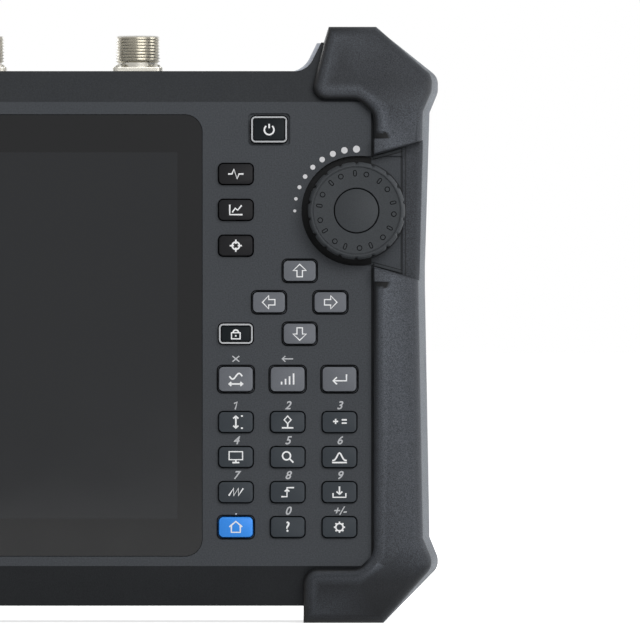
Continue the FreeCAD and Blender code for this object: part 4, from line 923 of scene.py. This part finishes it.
# %% Aerial port on its hexagon
mesh = bmesh.new()
centre = Vector((-36 * MM, PORT_Y, 0))
lathe(mesh, [(1.0, 187.5), (1.0, 196.0), (2.3, 196.0), (2.3, 202.7), (2.5, 202.9), (2.8, 202.9),
             *ridges(3.15, 0.35, 202.5, 196.2, 0.7), (2.8, 195.8), (2.8, 195.1), (4.3, 195.1),
             (4.45, 194.9), (4.45, 193.4), (3.0, 193.4), (3.0, 187.5)], centre, "Z", 96)
for vertex in mesh.verts:
    spoke = vertex.co - centre
    if hypot(spoke.x, spoke.y) > 4.2 * MM:
        flat = hexagon(atan2(spoke.y, spoke.x))
        vertex.co.x, vertex.co.y = centre.x + spoke.x * flat, centre.y + spoke.y * flat
aerial = new_piece("aerial_port_turned", mesh, "case", "contact_gold")
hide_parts("aerial_port")

# %% [markdown]
# ## Marks on the knob
# Between the knob's rim and its hub lies a circle of small moulded marks, pills and dots in turn.
# Each is a low pip ringed by the painted shade of a moat: a flat outline is inset once, the ring
# gets a dark finish, and the inner face is lifted.

# %% Marks on the knob
MARKS_RADIUS, MARKS_Y = 13.1 * MM, -39.76 * MM
mark_mesh = bmesh.new()


def mark(angle, half_length, radius):
    """A pip on the circle, longer along the radius when half_length is more than zero."""
    circle = bmesh.ops.create_circle(mark_mesh, cap_ends=True, segments=32, radius=radius * MM)
    verts = circle["verts"]
    for vertex in verts:
        vertex.co.y += copysign(half_length * MM, vertex.co.y) if abs(vertex.co.y) > 1e-9 else 0
    face = verts[0].link_faces[0]
    stand = Matrix.Translation((0, 0, MARKS_RADIUS)) @ STAND_UP
    spoke = Matrix.Rotation(radians(90 - angle), 4, "Y")
    place = Matrix.Translation(KNOB_CENTRE + Vector((0, MARKS_Y, 0))) @ spoke @ stand
    bmesh.ops.transform(mark_mesh, matrix=place, verts=verts)
    inset(mark_mesh, [face], 0.3)
    # painted shade of a moat on the flat ring round the pip
    for ring_face in {part for vertex in verts for part in vertex.link_faces} - {face}:
        ring_face.material_index = 1
    bmesh.ops.translate(mark_mesh, vec=(0, -0.12 * MM, 0), verts=face.verts)


for step in range(9):
    mark(92.4 - 40 * step, 0.55, 0.62)
    mark(74.7 - 40 * step, 0.0, 0.98)
new_piece("knob_marks", mark_mesh, "knob", "knob_plastic", "surround_black")

# %% [markdown]
# ## Frames of the keys
# The power key and the lock key carry a thin silver border. In a copy of its solid the four inner
# corners are pushed outwards, which leaves a line just over half a millimetre wide, and rounded.

# %% Silver borders
RING_WALL, BORDER = 0.9 * MM, 0.56 * MM

for name in ("key_power_ring", "key_lock_ring"):
    border = solid_copy(name)
    low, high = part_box(name)
    spans = [(axis, (low[axis] + high[axis]) / 2, (high[axis] - low[axis]) / 2) for axis in (0, 2)]
    corners = set()
    for vertex in border.verts:
        if all(abs(abs(vertex.co[axis] - middle) - half + RING_WALL) < 0.05 * MM
               for axis, middle, half in spans):
            for axis, middle, half in spans:
                vertex.co[axis] = middle + copysign(half - BORDER, vertex.co[axis] - middle)
            corners.add(vertex)
    upright = [edge for edge in border.edges
               if corners.issuperset(edge.verts) and abs(edge.verts[0].co.y - edge.verts[1].co.y) > MM]
    roll(border, upright, 0.8, 4)
    piece = new_piece(name + "_border", border, name.removesuffix("_ring"), "silver_border")
    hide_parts(name)

# %% [markdown]
# Each pale key stands in an opening whose narrow gap casts a crisp dark edge. A flat outline with
# rounded corners, inset once and left hollow, draws that edge as painted shade on the panel just
# outside the opening.

# %% Painted shade around the keys
SURROUND_OFF, SURROUND_WIDTH, SURROUND_ROUND = 0.85 * MM, 0.38, 2.0  # the last two in mm
mesh = bmesh.new()
for name in key_names:
    if slot_of[name] in ("key_light", "key_blue"):
        cap = [vertex.co for vertex in nodes[name].data.vertices if vertex.co.y < PANEL_Y - 0.2 * MM]
        left, bottom = (min(point[axis] for point in cap) - SURROUND_OFF for axis in (0, 2))
        right, top = (max(point[axis] for point in cap) + SURROUND_OFF for axis in (0, 2))
        corners = [mesh.verts.new((x, PANEL_Y - 0.03 * MM, z))
                   for x, z in ((left, bottom), (right, bottom), (right, top), (left, top))]
        mesh.faces.new(corners)
        roll(mesh, corners, SURROUND_ROUND, 5, "VERTICES")
        middle = [face for face in mesh.faces if len(face.verts) > 4]
        inset(mesh, middle, SURROUND_WIDTH)
        bmesh.ops.delete(mesh, geom=middle, context="FACES")
new_piece("key_gap_shade_lines", mesh, "case", "surround_black")

# %% [markdown]
# The power key sits in a shallow recess with rounded corners. A fillet fills each sharp corner of
# the opening: an arc and the corner point make a face, which is extruded down to the floor.

# %% Rounded corners of the power key's recess
RECESS_X, RECESS_Z, HALF_WIDE, HALF_HIGH, ROUND = 91.5, 172.9, 7.35, 5.65, 1.5  # mm
mesh = bmesh.new()
fillet = [(HALF_WIDE, HALF_HIGH)]
for step in range(9):
    turn = radians(90 * step / 8)
    fillet.append((HALF_WIDE - ROUND + ROUND * cos(turn), HALF_HIGH - ROUND + ROUND * sin(turn)))
for side_x in (1, -1):
    for side_z in (1, -1):
        outline = [(RECESS_X + side_x * x, RECESS_Z + side_z * z) for x, z in fillet]
        prism(mesh, outline, PANEL_Y, 0.95 * MM)
outwards(mesh)
new_piece("power_recess_corners", mesh, "case", "panel_plastic")

# %% [markdown]
# ## Print on the panel
# Nine round dots grow along an arc above the knob and say which way is more. Slanted digits stand
# above the keys. Both are pale ink, modelled as films a few hundredths of a millimetre proud.

# %% Dots that grow round the knob
INK = 0.04  # mm, of which half is sunk in the panel
mesh = bmesh.new()
for step in range(9):
    angle = radians(180 - 11.25 * step)
    centre = KNOB_CENTRE + Vector((cos(angle), 0, sin(angle))) * 21.6 * MM
    place = Matrix.Translation(centre + Vector((0, PANEL_Y, 0))) @ STAND_UP
    size = (0.525 + 0.0875 * step) * MM
    bmesh.ops.create_cone(mesh, cap_ends=True, segments=40, radius1=size, radius2=size,
                          depth=INK * MM, matrix=place)
new_piece("knob_scale_dots", mesh, "case", "dot_print")

# %% Digits and strokes
def flat_print(source, x, y, z, thickness=INK):
    """The mesh of a text or curve, stood up on the panel's plane and made thin."""
    holder = add_object("print", source)
    data = bpy.data.meshes.new_from_object(holder)
    bpy.data.objects.remove(holder)
    stand = Matrix.Translation((x * MM, y, z * MM)) @ STAND_UP
    data.transform(stand @ Matrix.Diagonal((MM, MM, thickness * MM, 1)))
    return data


def digits(text, size, slant=0.0):
    source = bpy.data.curves.new("digits", "FONT")
    source.body, source.size, source.shear = text, size, slant
    source.align_x, source.align_y = "CENTER", "CENTER"
    source.extrude, source.offset = 0.5, 0.07
    return source


def pen(text):
    """Lines of points from a text of x,y pairs in mm, in which a slash lifts the pen."""
    return [[tuple(map(float, pair.split(","))) for pair in line.split()] for line in text.split("/")]


def strokes(lines, width):
    """Round pen strokes through lines of points; a line that ends where it starts is closed."""
    source = bpy.data.curves.new("strokes", "CURVE")
    source.dimensions, source.use_fill_caps = "3D", True
    source.bevel_depth, source.bevel_resolution = width / 2, 2
    for line in lines:
        closed = line[0] == line[-1]
        points = line[:-1] if closed else line
        spline = source.splines.new("POLY")
        spline.points.add(len(points) - 1)
        for target, (x, y) in zip(spline.points, points):
            target.co = (x, y, 0, 1)
        spline.use_cyclic_u = closed
    return source


def printed(name, sheets, material, body):
    """One piece of several print meshes."""
    mesh = bmesh.new()
    for sheet in sheets:
        mesh.from_mesh(sheet)
    bmesh.ops.remove_doubles(mesh, verts=mesh.verts, dist=1e-8)
    new_piece(name, mesh, body, material)


# %% Legends above the keys
COLUMNS = (79.85, 97.98, 116.11)
ROWS = {76.2: " 23", 63.95: "456", 51.75: "789", 39.3: (".", "0", "+/-")}
sheets = [flat_print(digits(text, 4.0, 0.3), column, PANEL_Y, height)
          for height, row in ROWS.items() for column, text in zip(COLUMNS, row) if text != " "]
for drawing, width, column, height in (("-0.6,0.75 0.45,1.3 -0.25,-1.3", 0.5, COLUMNS[0], 76.2),
                                       ("-1.2,-1 1.2,1 / -1.2,1 1.2,-1", 0.42, COLUMNS[0], 92.6),
                                       ("1.9,0 -1.9,0 / -0.8,1 -1.9,0 -0.8,-1", 0.42, COLUMNS[1], 92.6)):
    sheets.append(flat_print(strokes(pen(drawing), width), column, PANEL_Y, height))
printed("panel_digits", sheets, "grey_print", "case")

# %% [markdown]
# ## Signs on the keys
# Words tie a keypad to one language, so each key has a plain sign instead: a wave, a level, a lens,
# an arrow. A round pen draws it, and it rides on its key, so it goes down when the key is pressed.

# %% Draw the signs
SIGN_SCALE, SIGN_PEN, SIGN_INK = 1.12, 0.55, 0.05


def arc(x, y, radius, start=0, end=360, points=24):
    turns = [radians(start + (end - start) * step / points) for step in range(points + 1)]
    line = [(x + radius * cos(turn), y + radius * sin(turn)) for turn in turns]
    return line[:-1] + [line[0]] if end - start == 360 else line


def turned(line, angle):
    c, s = cos(radians(angle)), sin(radians(angle))
    return [(x * c - y * s, x * s + y * c) for x, y in line]


def print_on_key(name, source):
    key = "key_" + name
    low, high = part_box(key)
    x, z = ((low[axis] + high[axis]) / 2 / MM for axis in (0, 2))
    printed("sign_on_" + key, [flat_print(source, x, low[1], z, SIGN_INK)], "white_print", key)


ARROW = "0,2.05 2.05,0.1 0.85,0.1 0.85,-1.85 -0.85,-1.85 -0.85,0.1 -2.05,0.1 0,2.05"
SIGNS = {
    "power": "0,0.35 0,1.75",
    "lock": "-1.35,-1.6 1.35,-1.6 1.35,0.3 -1.35,0.3 -1.35,-1.6 / 0,-0.9 0,-0.4",
    **dict.fromkeys(("up", "left", "down", "right"), ARROW),
    "function_high": "-2.4,0 -1.2,0 -0.6,1.5 0.4,-1.5 1,0 2.4,0",
    "function_middle": "-1.9,1.6 -1.9,-1.5 2.1,-1.5 / -1.1,-0.8 -0.2,0.5 0.6,-0.1 1.8,1.4",
    "function_low": "0,1.9 0,0.6 / 0,-1.9 0,-0.6 / 1.9,0 0.6,0 / -1.9,0 -0.6,0",
    "escape": "-2.2,-1.5 2.2,-1.5 / -1.4,-0.9 -2.2,-1.5 -1.4,-2.1 / 1.4,-0.9 2.2,-1.5 1.4,-2.1",
    "back": "-1.9,-1.7 -1.9,-0.8 / -0.65,-1.7 -0.65,0.1 / 0.6,-1.7 0.6,0.9 / 1.85,-1.7 1.85,1.8",
    "enter": "2.2,1.5 2.2,-0.5 -2,-0.5 / -0.8,0.6 -2,-0.5 -0.8,-1.6",
    "one": "0,-1.9 0,1.9 / -0.8,1.1 0,1.9 0.8,1.1 / -0.8,-1.1 0,-1.9 0.8,-1.1"
           " / 1.6,1.9 2.2,1.9 / 1.6,-1.9 2.2,-1.9",
    "two": "0,1.9 1.1,0.7 0,-0.5 -1.1,0.7 0,1.9 / 0,-0.5 0,-1.8 / -1.8,-1.8 1.8,-1.8",
    "three": "-2,0.2 -0.4,0.2 / -1.2,1 -1.2,-0.6 / 0.7,0.7 2.3,0.7 / 0.7,-0.3 2.3,-0.3",
    "four": "-2.1,-0.8 2.1,-0.8 2.1,1.7 -2.1,1.7 -2.1,-0.8 / 0,-0.8 0,-1.6 / -1.1,-1.7 1.1,-1.7",
    "five": "0.6,-0.5 1.8,-1.7",
    "six": "-2.3,-1.7 2.3,-1.7",
    "seven": "-2.2,-1.1 -0.7,1.2 -0.7,-1.1 0.8,1.2 0.8,-1.1 2.3,1.2",
    "eight": "-2,-1.4 -0.2,-1.4 -0.2,1.4 2,1.4 / -0.9,0.2 -0.2,0.9 0.5,0.2",
    "nine": "-2,-0.3 -2,-1.6 2,-1.6 2,-0.3 / 0,1.8 0,-0.7 / -0.9,0.2 0,-0.7 0.9,0.2",
    "point": "-2,0.1 0,1.8 2,0.1 / -1.4,0.5 -1.4,-1.6 1.4,-1.6 1.4,0.5",
    "sign": "1.15,0 1.75,0",
}
signs = {name: pen(text) for name, text in SIGNS.items()}
for quarter, name in enumerate(("up", "left", "down", "right")):
    signs[name] = [turned(signs[name][0], 90 * quarter)]
signs["power"].append(arc(0, -0.15, 1.5, 128, 412))
signs["lock"].append(arc(0, 0.3, 0.85, 0, 180, 12))
signs["function_low"].append(arc(0, 0, 1.15))
signs["five"].append(arc(-0.35, 0.4, 1.25))
signs["escape"].append([(x / 4, 0.9 + 0.9 * sin(radians(x * 22.5))) for x in range(-8, 9)])
signs["six"].append([(x / 4, 2.4 * exp(-(x / 4) ** 2) - 1.1) for x in range(-9, 10)])
tooth = signs["sign"][0]
signs["sign"] = [arc(0, 0, 1.15)] + [turned(tooth, 45 * step) for step in range(8)]
for name, lines in signs.items():
    larger = [[(x * SIGN_SCALE, y * SIGN_SCALE) for x, y in line] for line in lines]
    print_on_key(name, strokes(larger, SIGN_PEN))
print_on_key("zero", digits("?", 5.0))

# %% [markdown]
# ## Studio
# The floor and the world are white, but only for the camera and for reflections. The light on the
# object comes from a soft overall level and from large lamps, set so that a finish renders about
# as bright as its written colour.

# %% Floor
LIGHT_LEVEL = 0.3
WHITE = (1, 1, 1, 1)
mesh = bmesh.new()
bmesh.ops.create_grid(mesh, x_segments=1, y_segments=1, size=40)
floor_data = bpy.data.meshes.new("floor")
mesh.to_mesh(floor_data)
mesh.free()
floor = add_object("floor", floor_data)
paint = new_material("floor_paint", (255, 255, 255), 0.9, specular=0.0)
rays = add_node(paint, "ShaderNodeLightPath").outputs
seen = mathematics("MAXIMUM", rays["Is Camera Ray"], rays["Is Glossy Ray"])
seen = mathematics("MAXIMUM", seen, rays["Is Transmission Ray"])
feed(shader_of(paint), Base_Color=mixed(seen, (LIGHT_LEVEL, LIGHT_LEVEL, LIGHT_LEVEL, 1), WHITE),
     Emission_Color=WHITE, Emission_Strength=times(seen, 0.72))
finish(floor, "floor_paint")
print("the floor is 80 m wide")

# %% World
world = bpy.data.worlds.new("studio")
bpy.context.scene.world = world
world.use_nodes = True
rays = add_node(world, "ShaderNodeLightPath").outputs
seen = mathematics("MAXIMUM", rays["Is Camera Ray"], rays["Is Glossy Ray"])
feed(world.node_tree.nodes["Background"], Color=WHITE, Strength=remap(seen, 0.0, 1.0, LIGHT_LEVEL, 1.0))
print("world strength for light is", LIGHT_LEVEL)

# %% Lamps
def lamp(name, place, aim, size, power):
    data = bpy.data.lights.new(name, "AREA")
    data.shape = "RECTANGLE"
    data.size, data.size_y = size
    data.energy = power
    light = add_object(name, data)
    light.location = place
    light.rotation_euler = (Vector(aim) - Vector(place)).to_track_quat("-Z", "Y").to_euler()


lamp("front_softbox", (0.9, -2.15, 1.2), (0.07, 0, 0.1), (1.8, 1.2), 45)
lamp("side_softbox", (2.2, 0.0, 0.7), (0.1, 0, 0.12), (1.0, 1.4), 28)
lamp("back_softbox", (-1.2, 1.6, 1.0), (0, 0, 0.15), (1.2, 1.2), 25)
print("three softboxes")

# %% Picture settings
bpy.context.scene.view_settings.view_transform = "Standard"
